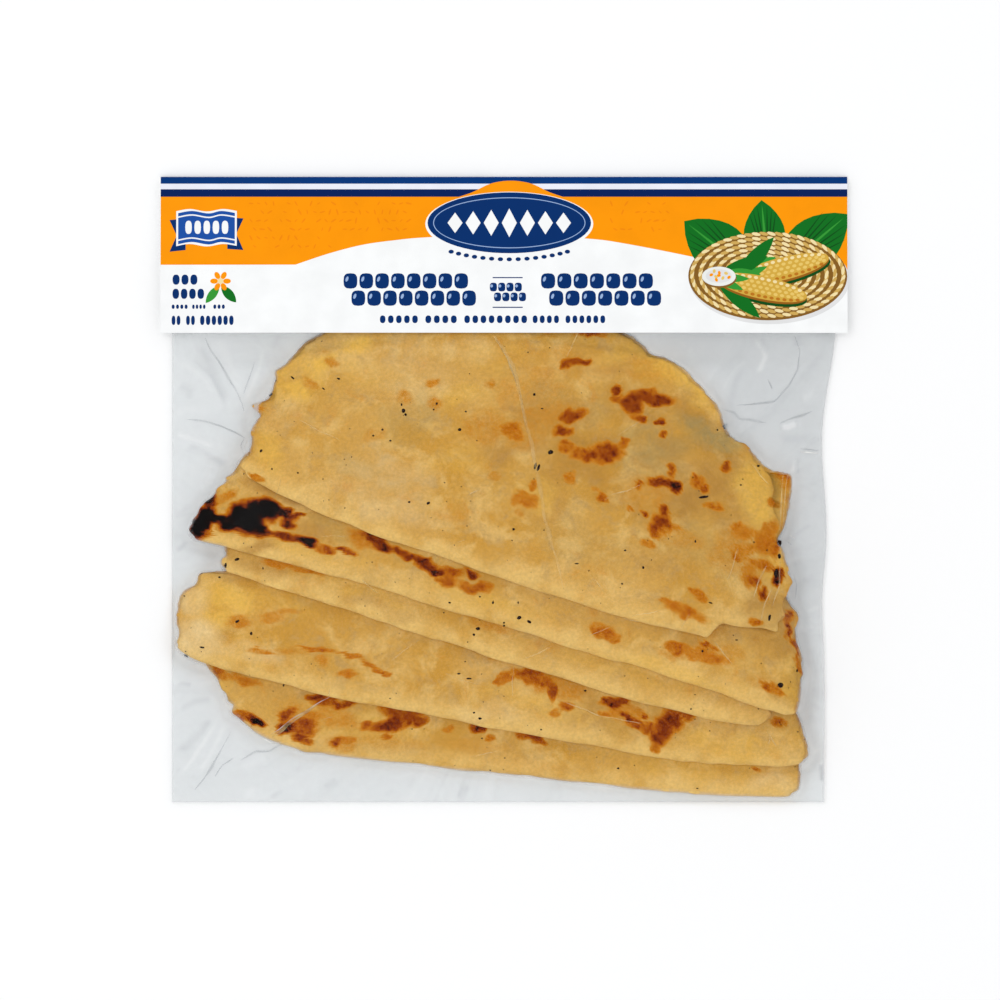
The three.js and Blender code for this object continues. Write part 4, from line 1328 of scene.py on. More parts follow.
def film_faces(border, triangles, around):
    """Faces of the front film's grid, of the back film and of the edge between them."""
    grid = np.arange(FILM_ROWS * FILM_COLUMNS).reshape(FILM_ROWS, FILM_COLUMNS)
    faces = np.stack([grid[:-1, :-1], grid[:-1, 1:], grid[1:, 1:], grid[1:, :-1]], axis=-1)
    faces = faces.reshape(-1, 4).tolist()
    faces += [[grid.size + c for c in reversed(triangle)] for triangle in triangles]
    for here, there in around:
        faces.append([grid.size + here, grid.size + there, grid[border[there]], grid[border[here]]])
    return faces


def film():
    """The pouch: a front film drawn over the pile, a flat back film, and the edge that joins them."""
    x, y = film_places()
    front, tone = front_film(x, y)
    border = grid_border(range(FILM_ROWS), range(FILM_COLUMNS))
    back, triangles, around = back_film([Vector((x[place], y[place])) for place in border])
    points = np.concatenate([np.stack([x, y, front], axis=-1).reshape(-1, 3), back])
    all_x, all_y, _ = points.T
    denser = DENSER * step(*DENSER_ACROSS, all_x) * step(*DENSER_UP, all_y)
    haze = CLEAR + (HAZE + denser) * step(*WELDED, -pile_depth(all_x, all_y))
    haze[front.size :] = BACK_CLEAR
    # The folds' painted shade and highlight, none on the back film
    facing = np.concatenate([tone.ravel(), np.zeros(len(back))])
    faces = film_faces(border, triangles, around)
    made = piece("pouch_film", points, faces, [film_material()], haze=haze, facing=facing)
    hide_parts("pouch")
    return x, y, front


# Kinds of crease: painted highlight, warm painted sheen, faint painted sheen, painted shade line
PAINTED_HIGHLIGHT, WARM_PAINTED_SHEEN, FAINT_PAINTED_SHEEN, PAINTED_SHADE_LINE = range(4)

# Sharp creases of the film: points, width and kind, which is a painted highlight, a warm or faint painted
# sheen, or a painted shade line
CREASES = [
    ([(-3.2, 55.3), (1.8, 47), (4.7, 40.1), (6.8, 30.4)], 2.4, FAINT_PAINTED_SHEEN),
    ([(-3.6, 55.3), (1.3, 47), (4.1, 40.1), (6.2, 30.4), (8.4, 20)], 0.6, WARM_PAINTED_SHEEN),
    (
        [
            (5.4, 35.8), (7.2, 27.9), (9.4, 17.8), (12.2, 3.4), (14.8, -11), (18.7, -25.4),
            (21.2, -35.5),
        ],
        2.2, FAINT_PAINTED_SHEEN,
    ),
    ([(-62.6, -71.8), (-63, -75.1)], 0.7, WARM_PAINTED_SHEEN),
    ([(-62.6, -74.7), (-69.1, -78.3), (-74.5, -81.5), (-79.2, -84.8), (-83.9, -88.4)], 0.5, PAINTED_HIGHLIGHT),
    ([(-66.2, -77.2), (-72, -80.8), (-76.7, -84.4), (-82.1, -89.1)], 0.7, WARM_PAINTED_SHEEN),
    ([(-67, -77.2), (-72.7, -80.8), (-78.1, -84.8), (-83.2, -89.1)], 2.2, FAINT_PAINTED_SHEEN),
    ([(49, 24.7), (44.6, 21.8), (40.3, 18.9)], 0.8, WARM_PAINTED_SHEEN),
    ([(49.3, 2), (44.6, -0.2), (38.9, -1.6), (36, -3.8)], 0.8, WARM_PAINTED_SHEEN),
    ([(94, -27.2), (91.1, -32.6), (89.3, -38.3)], 1.1, WARM_PAINTED_SHEEN),
    ([(100.4, 7), (99.7, -3.8), (99, -14.6)], 1, WARM_PAINTED_SHEEN),
    ([(101.9, 5.6), (100.8, -5.6), (100.1, -14.6)], 0.8, WARM_PAINTED_SHEEN),
    ([(95.8, -35.5), (93.2, -41.6), (91.8, -47)], 1, WARM_PAINTED_SHEEN),
    ([(99, -25.4), (98.6, -34.4), (96.1, -41.6)], 1, WARM_PAINTED_SHEEN),
    ([(89.3, 9.2), (92.2, 5.6), (95, 2)], 0.8, WARM_PAINTED_SHEEN),
    ([(74.9, -54.2), (78.5, -58.5), (81.7, -62.8)], 0.7, WARM_PAINTED_SHEEN),
    ([(-73.4, 25), (-65.5, 20.7), (-59, 17.8)], 0.7, WARM_PAINTED_SHEEN),
    ([(-40.3, -61.4), (-36, -57.8), (-31, -54.2)], 0.9, WARM_PAINTED_SHEEN),
    ([(20.2, -75.8), (34.6, -81.2), (49, -83.7)], 0.7, WARM_PAINTED_SHEEN),
    ([(94, -86.6), (96.1, -89.5), (97.9, -92)], 0.9, WARM_PAINTED_SHEEN),
    (
        [
            (-107.6, 54.9), (-105.1, 49.9), (-101.2, 43.4), (-96.8, 36.2), (-94.3, 31.1),
            (-93.6, 28.3),
        ],
        1.3, PAINTED_SHADE_LINE,
    ),
    ([(-114.1, 25.4), (-109.1, 25), (-101.9, 22.9), (-96.8, 20.3), (-92.9, 18.2)], 1, PAINTED_SHADE_LINE),
    ([(-89.6, 46.3), (-91.1, 41.9), (-93.6, 34.4)], 1, PAINTED_SHADE_LINE),
    ([(-93.6, 18.5), (-94.7, 15.7), (-93.2, 12.1)], 0.8, PAINTED_SHADE_LINE),
    ([(-92.5, 17.8), (-93.6, 14.9), (-92.2, 12.1)], 0.7, PAINTED_HIGHLIGHT),
    ([(-98.3, -87.3), (-102.6, -95.2), (-105.5, -100.3), (-111.2, -108.2)], 1.1, PAINTED_SHADE_LINE),
    ([(-79.2, -91.3), (-84.6, -94.1), (-89.6, -94.1), (-94.7, -97.4)], 1.1, PAINTED_SHADE_LINE),
    ([(-97.6, -96.7), (-101.2, -99.5), (-104, -103.1)], 1.1, PAINTED_SHADE_LINE),
    ([(-87.1, -89.5), (-83.5, -91.3), (-79.9, -90.9)], 0.8, PAINTED_HIGHLIGHT),
    (
        [
            (104.4, 55.6), (106.6, 49.9), (105.8, 43.4), (103, 38.3), (98.6, 32.6), (97.2, 31.5),
            (83.5, 30.1),
        ],
        1.1, PAINTED_SHADE_LINE,
    ),
    ([(78.5, 29), (83.5, 27.5), (85, 25.4), (94.3, 23.9)], 1.2, PAINTED_SHADE_LINE),
    ([(95, 39.8), (96.5, 36.2)], 1, PAINTED_SHADE_LINE),
    ([(99.4, 23.9), (104.4, 25.7), (110.9, 28.3)], 1.2, PAINTED_SHADE_LINE),
    ([(106.6, 14.6), (113, 14.2)], 0.9, PAINTED_SHADE_LINE),
    ([(106.6, 13.5), (113, 13.1)], 0.9, PAINTED_HIGHLIGHT),
    ([(101.5, -18.5), (103.7, -20)], 1, PAINTED_SHADE_LINE),
    ([(103, -16.4), (104.8, -17.5)], 1, PAINTED_HIGHLIGHT),
    ([(104, -30.4), (105.1, -34.4), (104.4, -39.8)], 0.9, PAINTED_SHADE_LINE),
]
FINE_CREASES = 18
FINE_CREASE_SEED = 23
# Of their places, directions, lengths and bends
FINE_CREASE_RANGES = [(-105, 100), (-100, 52), (0, math.pi), (3, 13), (-0.25, 0.25)]
FINE_CREASE_WIDTHS = (0.4, 0.7)


def crease_lines():
    """Every crease as points, width and kind: the ones above, and faint drawn ones of painted sheen on
    the pile.
    """
    lines = list(CREASES)
    draw = random.Random(FINE_CREASE_SEED)
    while len(lines) < len(CREASES) + FINE_CREASES:
        x, y, way, length, bend = (draw.uniform(*limits) for limits in FINE_CREASE_RANGES)
        line = [
            (x + t * length * math.cos(way + t * bend), y + t * length * math.sin(way + t * bend))
            for t in (0, 0.5, 1)
        ]
        if all(pile_top(*place) > 0 for place in line):
            lines.append((line, draw.uniform(*FINE_CREASE_WIDTHS), WARM_PAINTED_SHEEN))
    return lines


def film_heights(x, y, front):
    """A function that gives the film's height at a point, from the nearest one of the film's grid."""
    rows = y[:, 0]
    cell = rows[1] - rows[0]

    def height(px, py):
        r = int(np.clip(round((py - rows[0]) / cell), 0, FILM_ROWS - 1))
        share = (px - POUCH_LEFT) / (x[r, -1] - POUCH_LEFT)
        c = int(np.clip(round(share * (FILM_COLUMNS - 1)), 0, FILM_COLUMNS - 1))
        return float(front[r, c])

    return height


CREASE_SIDES = 8
CREASE_STEP = 0.9  # millimetres from ring to ring along a crease
FEWEST_RINGS = 6
CREASE_LIFT = 0.1
CREASE_HEIGHT = 0.3  # for each millimetre of half width
CREASE_WIDTH = 0.75  # share of its named width that a crease has on average
CREASE_TIP = 0.3  # how far past its last rings a crease would end, in steps


def crease_spine(line):
    """Even places along a wavering crease, and the direction across it at each of them."""
    knots = np.array(line)
    lengths = np.concatenate([[0], np.cumsum(np.hypot(*np.diff(knots, axis=0).T))])
    at = np.linspace(0, lengths[-1], max(int(lengths[-1] / CREASE_STEP), FEWEST_RINGS))
    x, y = np.interp(at, lengths, knots[:, 0]), np.interp(at, lengths, knots[:, 1])
    x, y = x + noises(x, y, CREASE_WAVER_X), y + noises(x, y, CREASE_WAVER_Y)
    way_x, way_y = np.gradient(x), np.gradient(y)
    size = np.hypot(way_x, way_y)
    return np.stack([x, y], axis=1), np.stack([-way_y / size, way_x / size], axis=1)


def crease_points(line, width, height):
    """A crease's rings of points, half sunk in the film, and how far up its side each point is."""
    places, across = crease_spine(line)
    points, crests = [], []
    for k, place in enumerate(places):
        taper = math.sin(math.pi * (k + CREASE_TIP) / (len(places) - 1 + 2 * CREASE_TIP)) ** 0.5
        half = width / 2 * taper * (CREASE_WIDTH + float(noises(*place, CREASE_UNEVEN)))
        for side in range(CREASE_SIDES):
            around = 2 * math.pi * side / CREASE_SIDES
            x, y = place + across[k] * half * math.cos(around)
            lift = CREASE_LIFT + CREASE_HEIGHT * half * math.sin(around)
            points.append((x, y, height(x, y) + lift))
            crests.append(max(math.sin(around), 0))
    return points, crests


def crease_faces(first, count):
    """Faces of a crease of count points, numbered from first, with both ends closed."""
    end = first + count
    faces = band_faces(count // CREASE_SIDES, CREASE_SIDES, first)
    faces.append(tuple(reversed(range(first, first + CREASE_SIDES))))
    faces.append(tuple(range(end - CREASE_SIDES, end)))
    return faces


def film_creases(height):
    """Thin ridges with tapering ends along the creases, half sunk in the film, painted with highlight,
    sheen or shade.
    """
    points, faces, kinds, crests = [], [], [], []
    for line, width, kind in crease_lines():
        more_points, more_crests = crease_points(line, width, height)
        more_faces = crease_faces(len(points), len(more_points))
        points += more_points
        crests += more_crests
        faces += more_faces
        kinds += [kind] * len(more_faces)
    # The creases' painted highlight, painted sheen and painted shade
    materials = [
        crease_material("film_crease_painted_highlight", srgb(252, 250, 246), 0.2, 0.6),
        crease_material("film_crease_warm_painted_sheen", srgb(242, 214, 156), 0.15, 0.5),
        crease_material("film_crease_faint_painted_sheen", srgb(242, 208, 144), 0.12, 0.36),
        crease_material("film_crease_painted_shade", srgb(150, 157, 161), 0.1, 0.28),
    ]
    made = piece("film_creases", points, faces, materials, kinds, crest=crests)
    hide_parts("pouch")


# The header card. Print places are millimetres from the card's left edge and down from its fold.

INK_COLOURS = {
    "white": (242, 243, 243),
    "pale": (230, 232, 242),
    "navy": (0, 45, 104),
    "navy_light": (0, 52, 116),
    "navy_deep": (0, 30, 88),
    "glint": (150, 176, 214),
    "orange": (247, 148, 0),
    "amber": (238, 134, 4),
    "leaf_dark": (10, 74, 22),
    "leaf_green": (14, 108, 30),
    "leaf_light": (52, 148, 52),
    "wicker_dark": (132, 92, 34),
    "wicker": (204, 166, 88),
    "wicker_light": (238, 218, 164),
    "crust_dark": (150, 92, 22),
    "crust": (208, 166, 66),
    "crust_light": (228, 194, 104),
    "toast": (184, 114, 28),
    "blue": (26, 78, 160),
    "cheese": (232, 234, 230),
    "shade": (222, 222, 222),
}
INKS = list(INK_COLOURS)
CURVE_STEPS = 6
LEAF_STEPS = 10
BAND_SEED = 3


def box_shape(left, top, right, bottom):
    """A box as a closed outline."""
    return [(left, top), (left, bottom), (right, bottom), (right, top)]


def moved(u, v, a, b, turn):
    """Where a point of a shape comes to lie when the shape is turned and moved to a place."""
    along, across = turned(a, b, turn)
    return u + along, v + across


def oval(u, v, half_u, half_v, turn=0, points=28, square=2.0):
    """An ellipse, or a squarer rounded shape, as a closed outline."""
    shape = []
    for k in range(points):
        around = 2 * math.pi * k / points
        c, s = math.cos(around), math.sin(around)
        a = half_u * math.copysign(abs(c) ** (2 / square), c)
        b = half_v * math.copysign(abs(s) ** (2 / square), s)
        shape.append(moved(u, v, a, b, turn))
    return shape


def spline(p, q, r, s, t):
    """A value between q and r, on a smooth curve that comes from p and goes on to s."""
    square = 2 * p - 5 * q + 4 * r - s
    cube = 3 * q - p - 3 * r + s
    return 0.5 * (2 * q + (r - p) * t + square * t * t + cube * t**3)


def smooth_line(knots):
    """A curve through the knots."""
    guides = [knots[0], *knots, knots[-1]]
    line = []
    for k in range(len(knots) - 1):
        for i in range(CURVE_STEPS):
            line.append(tuple(spline(*values, i / CURVE_STEPS) for values in zip(*guides[k : k + 4])))
    return line + [knots[-1]]


def leaf_shape(u, v, length, width, turn):
    """A pointed leaf that starts at a point and runs in the direction of turn."""
    outgoing = [(k / LEAF_STEPS, 1) for k in range(LEAF_STEPS + 1)]
    returning = [(k / LEAF_STEPS, -1) for k in range(LEAF_STEPS - 1, 0, -1)]
    shape = []
    for t, side in outgoing + returning:
        across = side * width / 2 * math.sin(math.pi * t) ** 0.8
        shape.append(moved(u, v, length * t, across, turn))
    return shape


def kernels(left, top, right, bottom, count, ink, square=2.6, fill=0.76):
    """A row of kernel shapes."""
    pitch = (right - left) / count
    half_u, half_v, v = pitch * fill / 2, (bottom - top) / 2, (top + bottom) / 2
    middles = [left + (k + 0.5) * pitch for k in range(count)]
    return [(ink, oval(u, v, half_u, half_v, 0, 16, square)) for u in middles]


def glossy_kernels(left, top, right, bottom, count):
    """Two staggered rows of big navy kernels with a glint on each."""
    pitch, tall = (right - left) / (count + 0.5), (bottom - top) / 2
    shapes = []
    for row in range(2):
        start = left + row * pitch / 2
        upper = top + row * tall
        shapes += kernels(start, upper, start + count * pitch, upper + tall * 0.9, count, "navy", 3, 0.88)
        for k in range(count):
            u = start + (k + 0.5) * pitch
            glint = oval(u - pitch * 0.22, upper + tall * 0.34, 0.5, tall * 0.16, 20, 10)
            shapes.append(("glint", glint))
    return shapes


def band_print():
    """Stripes and the orange band, with its faint rows of kernels."""
    wide = PACK_WIDTH + 1
    edge = smooth_line(
        [
            (48.6, 31.7), (60.5, 27.7), (72.4, 24.6), (84.2, 22.9), (96.5, 21.8), (125, 20.8),
            (153.4, 22.3), (167, 24.1), (189, 28.4), (215, 34), (wide, 40),
        ]
    )
    shapes = [("orange", [(-1, 7.2), (-1, 31.7)] + edge + [(wide, 7.2)])]
    draw, pitch_u, pitch_v = random.Random(BAND_SEED), 2.7, 3.1
    for row in range(6):
        for column in range(58):
            u, v = 32.5 + column * pitch_u + (row % 2) * pitch_u / 2, 9.6 + row * pitch_v
            beside_badge = v < 20.4 and u < 184 and not 90 < u < 160
            at_left = v < 28 and u < 62
            if (beside_badge or at_left) and draw.random() < 0.7:
                turn, size = draw.uniform(-80, 80), draw.uniform(0.7, 1.2)
                shapes.append(("amber", oval(u, v, 1.05 * size, 0.28 * size, turn, 8)))
    shapes.append(("navy_light", box_shape(-1, -1, wide, 2.5)))
    shapes.append(("pale", box_shape(-1, 2.5, wide, 4.5)))
    shapes.append(("navy_deep", box_shape(-1, 4.5, wide, 7.2)))
    return shapes


def badge_print():
    """A plain oval badge under an arch, with a curved row of dots."""
    arch = smooth_line(
        [
            (106, 7.6), (112, 5.6), (117.5, 2.9), (121.5, 1.8), (126, 1.4), (130.5, 1.8),
            (134.5, 2.9), (140, 5.6), (146, 7.6),
        ]
    )
    shapes = [("orange", arch + [(146, 9), (106, 9)])]
    u, v = 125.4, 16.6
    shapes.append(("white", oval(u, 17, 30.2, 11.6, 0, 64)))
    for ink, half_u, half_v in (("navy", 29.4, 11), ("glint", 27.4, 9.2), ("navy", 27.1, 8.9)):
        shapes.append((ink, oval(u, v, half_u, half_v, 0, 64)))
    for k in range(-3, 4):
        tall = 5.2 - 0.5 * abs(k)
        shapes.append(("white", oval(u + 6.5 * k, v, 2.7, tall, 0, 4)))
    for k in range(-7, 8):
        around = math.radians(90 + k * 5.2)
        dot = u + 35.2 * math.cos(around), 15.6 + 14.2 * math.sin(around)
        shapes.append(("navy", oval(*dot, 1.0, 0.75, 0, 10)))
    return shapes


def kernel_print():
    """Rows of navy kernels across the card's white field and at its left."""
    top, bottom = 34.8, 47.2
    shapes = glossy_kernels(65.5, top, 113.8, bottom, 8)
    shapes += glossy_kernels(118.2, 38.2, 131.6, 45.3, 4)
    shapes += glossy_kernels(136.4, top, 180.3, bottom, 7)
    for line_v in (36.2, 46.9):
        shapes.append(("navy", box_shape(119.4, line_v, 130.2, line_v + 0.4)))
    for left, right, count in (
        (78.5, 93, 5), (94.8, 107, 4), (108.8, 132.2, 8), (133.4, 143.6, 4), (145.2, 160.2, 6),
    ):
        shapes += kernels(left, 50, right, 52.8, count, "navy", 2.4, 0.7)
    shapes += kernels(4, 35.2, 13.6, 38.9, 3, "navy", 2.4, 0.8)
    shapes += kernels(4, 40.3, 16, 44, 4, "navy", 2.4, 0.8)
    for left, right, count in ((3.8, 10, 4), (11.2, 16.4, 4), (18.8, 23.4, 3)):
        shapes += kernels(left, 46, right, 47.6, count, "navy", 2.2, 0.7)
    for left, right, count in ((3.8, 7.4, 2), (9, 12.6, 2), (14, 26.6, 6)):
        shapes += kernels(left, 50, right, 53.4, count, "navy", 2.4, 0.76)
    return shapes


def flower_print():
    """A little flower of orange kernels on two leaves."""
    u, v = 21.6, 37.6
    shapes = [
        ("leaf_light", leaf_shape(u - 0.4, v + 1.6, 8, 3, 128)),
        ("leaf_green", leaf_shape(u + 0.2, v + 1.6, 8.2, 3.4, 48)),
    ]
    for turn in range(0, 360, 60):
        shapes.append(("orange", oval(*moved(u, v, 2.3, 0, turn), 1.45, 0.95, turn, 12)))
    shapes.append(("wicker_light", oval(u, v, 1.1, 1.1, 0, 12)))
    return shapes


def ribbon_print():
    """A blue ribbon with forked tails and a wavy white line above and below its kernels."""

    def wave(left, right, level):
        dips = [(left, 0.8), (left + 5, 0), (left + 11, 0.9), (right - 5, 0), (right, 0.7)]
        return smooth_line([(u, level + dip) for u, dip in dips])

    def band(left, right, top, bottom):
        return wave(left, right, top) + wave(left, right, bottom)[::-1]

    return [
        ("navy", [(3.2, 15.6), (9, 15), (9, 26.4), (3.2, 27), (5.8, 21.2)]),
        ("navy", [(29.8, 15), (24, 14.6), (24, 26), (29.8, 26.4), (27.2, 20.6)]),
        ("white", band(5.6, 27.4, 11.6, 24.2)),
        ("blue", band(6.3, 26.7, 12.3, 23.5)),
        ("white", band(6.3, 26.7, 13.5, 14)),
        ("white", band(6.3, 26.7, 21.8, 22.3)),
        *kernels(8.4, 15.8, 24.8, 20.6, 5, "white", 2.6, 0.72),
    ]


def husk_leaf(u, v, length, width, turn):
    """A broad leaf with a pale midrib and long thin veins."""
    shapes = [("leaf_green", leaf_shape(u, v, length, width, turn))]
    for k in (-3, -2, -1, 1, 2, 3):
        reach = length * (0.96 - 0.04 * abs(k))
        shapes.append(("leaf_dark", leaf_shape(u, v, reach, 0.6, turn + 4.4 * k)))
    shapes.append(("leaf_light", leaf_shape(u, v, length * 0.94, 0.9, turn)))
    return shapes


def ear_of_corn(u, v, length, turn):
    """An ear in its opened husk: rows of kernels, lighter on the upper side."""
    half = length / 2

    def husk(ink, start, reach, width, lean):
        foot = moved(u, v, -half * start, 0, turn)
        return ink, leaf_shape(*foot, length * reach, width, turn + lean)

    shapes = [("leaf_dark", oval(*moved(u, v, 0.3, 1.4, turn), half, 4.5, turn, 32))]
    shapes.append(husk("leaf_green", 1.05, 0.62, 5.4, -34))
    shapes.append(husk("leaf_green", 1.05, 0.66, 5.4, 30))
    shapes.append(husk("leaf_light", 1.05, 0.5, 5.4, -16))
    shapes.append(("crust_dark", oval(*moved(u, v, 0, 0.5, turn), half, 4.4, turn, 32)))
    shapes.append(("crust", oval(u, v, half, 4.1, turn, 32)))
    inks, columns = ("wicker_light", "crust_light", "crust_light", "crust_light", "toast"), 13
    for row, ink in enumerate(inks):
        for column in range(columns):
            along = 0.92 * (2 * (column + 0.5 * (row % 2) + 0.25) / columns - 1)
            across = (row - (len(inks) - 1) / 2) * 1.55 * math.sqrt(max(1 - along**2, 0))
            shapes.append((ink, oval(*moved(u, v, along * half, across, turn), 0.8, 0.58, turn, 8)))
    shapes.append(husk("leaf_light", 1.1, 0.4, 3, -9))
    shapes.append(husk("leaf_light", 1.1, 0.36, 3, 11))
    return shapes


def dish_print(u, v):
    """A small white dish with a spiral of kernels."""
    shapes = [
        ("wicker_dark", oval(u + 0.2, v + 0.9, 6.2, 3.6, 0, 28)),
        ("cheese", oval(u, v + 0.3, 6.1, 3.5, 0, 28)),
        ("shade", oval(u, v + 0.2, 4.7, 2.5, 0, 24)),
    ]
    for k in range(9):
        reach, around = 1.1 * math.sqrt(k), 2.4 * k
        middle = u + 1.25 * reach * math.cos(around), v + 0.6 * reach * math.sin(around)
        shapes.append((("orange", "crust_light")[k % 2], oval(*middle, 0.75, 0.55, 40 * k, 8)))
    return shapes


def mat_print():
    """A round woven mat with broad leaves, two ears of corn and the dish."""
    u, v = 218.3, 35.3
    shapes = [("shade", oval(u + 0.6, v + 1.8, 28.8, 16, 0, 60))]
    shapes += husk_leaf(u - 4, v + 1, 33, 19, -142)
    shapes += husk_leaf(u + 3, v, 34, 18, -40)
    shapes += husk_leaf(u, v - 2, 25, 15, -95)
    shapes.append(("wicker_dark", oval(u, v + 0.5, 28.6, 15.9, 0, 72)))
    for ring in range(9):
        half_u, half_v = 27.2 - 3 * ring, 14.8 - 1.65 * ring
        count = 62 - 6 * ring
        for k in range(count):
            around = 2 * math.pi * (k + ring / 2) / count
            tangent = math.degrees(math.atan2(half_v * math.cos(around), -half_u * math.sin(around)))
            ink = ("wicker", "wicker_light")[(k + ring) % 2]
            middle = u + half_u * math.cos(around), v + half_v * math.sin(around)
            shapes.append((ink, oval(*middle, 1.7, 0.62, tangent + 16, 8)))
    shapes += ear_of_corn(u + 5.5, v - 2.2, 34, -14)
    shapes += ear_of_corn(u - 2, v + 4.6, 33, 12)
    return shapes + dish_print(u - 17.6, v + 0.3)


def print_shapes():
    """The whole print, each shape with its ink, from the lowest up."""
    return band_print() + badge_print() + ribbon_print() + flower_print() + kernel_print() + mat_print()


def inside(shape, points):
    """Which points lie inside a closed outline."""
    x, y = points[:, 0], points[:, 1]
    held = np.zeros(len(points), dtype=bool)
    for (ax, ay), (bx, by) in zip(shape, shape[1:] + shape[:1]):
        crosses = (ay > y) != (by > y)
        with np.errstate(divide="ignore", invalid="ignore"):
            held ^= crosses & (x < (bx - ax) * (y - ay) / (by - ay) + ax)
    return held


SHEET_COLUMNS = 51
SHEET_ROWS = 19
BEND_ROWS = [0.06, 0.2, 0.42, 0.75, 1.15]  # more rows, for the fold
MERGED = 1e-5  # places nearer than this become one
SHARP_ANGLE = 40  # degrees from which an edge is shaded sharp


def cut_sheet(shapes):
    """The front flap's flat points and its triangles, cut along the outlines of its print."""
    columns, rows = np.linspace(0, PACK_WIDTH, SHEET_COLUMNS), np.linspace(0, FLAP_LENGTH, SHEET_ROWS)
    border = grid_border(columns, rows)
    points, edges = [], []
    for shape in [border, *shapes]:
        edges += neighbours(len(shape), len(points))
        points += [Vector(place) for place in shape]
    for v in [*BEND_ROWS, *rows[1:-1]]:
        points += [Vector((u, v)) for u in columns[1:-1]]
    flat, _, triangles, *_ = delaunay_2d_cdt(points, edges, [], 0, MERGED)
    flat, triangles = np.array(flat), np.array(triangles)
    triangles = triangles[inside(border, flat[triangles].mean(axis=1))]
    used = np.unique(triangles)
    renumber = np.full(len(flat), -1)
    renumber[used] = np.arange(len(used))
    return flat[used], renumber[triangles]


def inks_at(places, shapes):
    """The ink's number at each place: that of the last shape around it, or white."""
    numbers = np.full(len(places), INKS.index("white"))
    for ink, shape in shapes:
        low, high = np.min(shape, axis=0), np.max(shape, axis=0)
        near = np.flatnonzero(np.all((places > low) & (places < high), axis=1))
        numbers[near[inside(shape, places[near])]] = INKS.index(ink)
    return numbers


def card_points(flat):
    """Outer and inner points of the front flap and the upper half of the fold, from flat places."""
    outer_bend = (MARGIN_BASE + MARGIN_THICKNESS + CARD_GAP + CARD_THICKNESS) / 2
    inner_bend = outer_bend - CARD_THICKNESS
    bend_y = PACK_LENGTH / 2 - outer_bend
    x, y = flat[:, 0] - PACK_WIDTH / 2, PACK_LENGTH / 2 - flat[:, 1]
    across = np.clip((y - bend_y) / outer_bend, 0, 1)
    round_z = outer_bend + outer_bend * np.sqrt(1 - across**2)
    on_fold = y > bend_y
    z = np.where(on_fold, round_z, flap_height(x, y) + CARD_THICKNESS)
    share = inner_bend / outer_bend
    inner_y = np.where(on_fold, bend_y + (y - bend_y) * share, y)
    inner_z = np.where(on_fold, outer_bend + (z - outer_bend) * share, z - CARD_THICKNESS)
    return np.stack([x, y, z], axis=1), np.stack([x, inner_y, inner_z], axis=1), outer_bend, bend_y


# Rows down the back flap: the distance from the fold, and the ink above it
BACK_ROWS = [
    (2.5, "navy"), (4.5, "white"), (7.2, "navy"), (18, "orange"), (31.7, "orange"), (44, "white"),
    (FLAP_LENGTH, "white"),
]
FOLD_STEPS = 6
FOLD_LINE = 1e-4  # a place nearer than this to the fold's middle is on it


def back_rows(bend, bend_y):
    """Outer and inner y and z, and ink, of each row around the fold's lower half and down the flap."""
    inner_bend = bend - CARD_THICKNESS
    rows = []
    for k in range(1, FOLD_STEPS + 1):
        around = -math.pi / 2 * k / FOLD_STEPS
        c, s = math.cos(around), math.sin(around)
        inner = bend_y + inner_bend * c, bend + inner_bend * s
        rows.append((bend_y + bend * c, bend + bend * s, *inner, "navy"))
    for distance, ink in BACK_ROWS:
        y = PACK_LENGTH / 2 - distance
        rows.append((y, 0, y, CARD_THICKNESS, ink))
    return rows


def front_faces(flat, triangles, colours):
    """The front flap's faces, each with its ink: both sides, and the edge except along the fold."""
    count, white = len(flat), INKS.index("white")
    faces, sides = [], set()
    for (a, b, c), ink in zip(triangles.tolist(), colours.tolist()):
        faces.append(((a, b, c), ink))
        faces.append(((count + a, count + c, count + b), white))
        sides.update([(a, b), (b, c), (c, a)])
    for start, end in sides:
        if (end, start) not in sides and max(flat[start, 1], flat[end, 1]) > FOLD_LINE:
            faces.append(((end, start, count + start, count + end), white))
    return faces


def strip_faces(last, row, ink):
    """Faces between two rows of outer and inner points, each with its ink, and those of their ends."""
    white = INKS.index("white")
    faces = []
    for k in range(len(row) - 1):
        faces.append(((last[k][0], row[k][0], row[k + 1][0], last[k + 1][0]), INKS.index(ink)))
        faces.append(((last[k + 1][1], row[k + 1][1], row[k][1], last[k][1]), white))
    faces.append(((last[0][0], last[0][1], row[0][1], row[0][0]), white))
    faces.append(((last[-1][1], last[-1][0], row[-1][0], row[-1][1]), white))
    return faces


def header_card():
    """The folded card: the printed front flap, the fold, and the back flap in plain bands."""
    shapes = print_shapes()
    flat, triangles = cut_sheet([shape for _, shape in shapes])
    faces = front_faces(flat, triangles, inks_at(flat[triangles].mean(axis=1), shapes))
    outer, inner, bend, bend_y = card_points(flat)
    points = outer.tolist() + inner.tolist()
    top = sorted(np.flatnonzero(flat[:, 1] < FOLD_LINE).tolist(), key=lambda i: flat[i, 0])
    last = [(i, len(flat) + i) for i in top]
    for outer_y, outer_z, inner_y, inner_z, ink in back_rows(bend, bend_y):
        row = []
        for i in top:
            row.append((len(points), len(points) + 1))
            points += [(outer[i, 0], outer_y, outer_z), (outer[i, 0], inner_y, inner_z)]
        faces += strip_faces(last, row, ink)
        last = row
    for here, there in zip(last, last[1:]):
        faces.append(((*here, *reversed(there)), INKS.index("white")))
    materials = [ink_material("ink_" + name, srgb(*colour)) for name, colour in INK_COLOURS.items()]
    corners, inks = zip(*faces)
    made = piece("card", points, corners, materials, inks, SHARP_ANGLE)
    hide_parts("header_card")


# Floor, light and camera

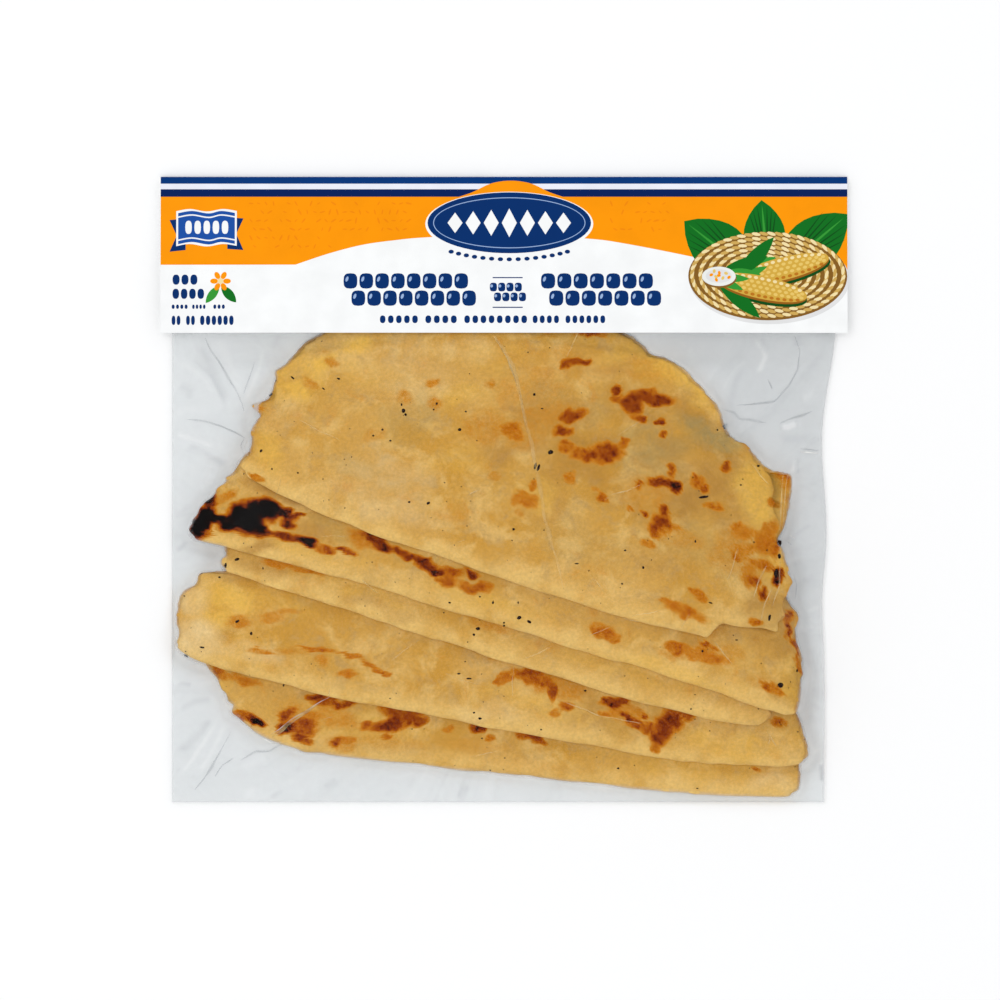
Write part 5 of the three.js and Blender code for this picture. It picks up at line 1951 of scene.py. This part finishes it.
FLOOR_HALF = 4000
KEY_PLACE = (-600, 250, 2300)
KEY_SIZE = 2000
KEY_POWER = 15.8  # watts
DAYLIGHT = (0.985, 0.992, 1, 1)
DAYLIGHT_STRENGTH = 0.86
FRAME_WIDTH = 1000 * PHOTO_SCALE
FRAME_MIDDLE = (500, 500)  # the photo's middle pixel
LENS = 300
SENSOR = 36
FARTHEST_SEEN = 100  # metres


def stage():
    """A white floor under the pack."""
    mesh = bpy.data.meshes.new("floor")
    half = FLOOR_HALF * MM
    corners = [(-half, -half, 0), (half, -half, 0), (half, half, 0), (-half, half, 0)]
    mesh.from_pydata(corners, [], [(0, 1, 2, 3)])
    mesh.materials.append(floor_material())
    floor = bpy.data.objects.new("floor", mesh)
    bpy.context.scene.collection.objects.link(floor)
    floor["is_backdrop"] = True


def key_light():
    """A broad soft lamp high over the pack."""
    light = bpy.data.lights.new("key", "AREA")
    light.shape, light.size, light.energy = "SQUARE", KEY_SIZE * MM, KEY_POWER
    lamp = bpy.data.objects.new("key", light)
    lamp.location = Vector(KEY_PLACE) * MM
    lamp.rotation_euler = (-Vector(KEY_PLACE)).to_track_quat("-Z", "Y").to_euler()
    bpy.context.scene.collection.objects.link(lamp)


def daylight():
    """Even light from all around."""
    world = bpy.data.worlds.new("soft_white")
    world.use_nodes = True
    background = world.node_tree.nodes["Background"].inputs
    background["Color"].default_value = DAYLIGHT
    background["Strength"].default_value = DAYLIGHT_STRENGTH
    bpy.context.scene.world = world
    bpy.context.scene.view_settings.view_transform = "Standard"


def camera():
    """A camera that looks straight down on the pack and frames it as the photo does."""
    made = bpy.data.objects.new("camera", bpy.data.cameras.new("camera"))
    made.data.lens, made.data.sensor_width = LENS, SENSOR
    made.location = Vector((*on_pack(*FRAME_MIDDLE), FRAME_WIDTH * LENS / SENSOR)) * MM
    made.data.clip_end = FARTHEST_SEEN
    bpy.context.scene.collection.objects.link(made)
    bpy.context.scene.camera = made


camera()
stage()
key_light()
daylight()
dough = dough_material()
for layer in range(len(FLATBREADS)):
    flatbread(layer, dough)
flecks()
film_creases(film_heights(*film()))
header_card()

visual_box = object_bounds()
boxes = {"cad": cad_box, "visual": visual_box}
{key: [list(corner) for corner in box] for key, box in boxes.items()}
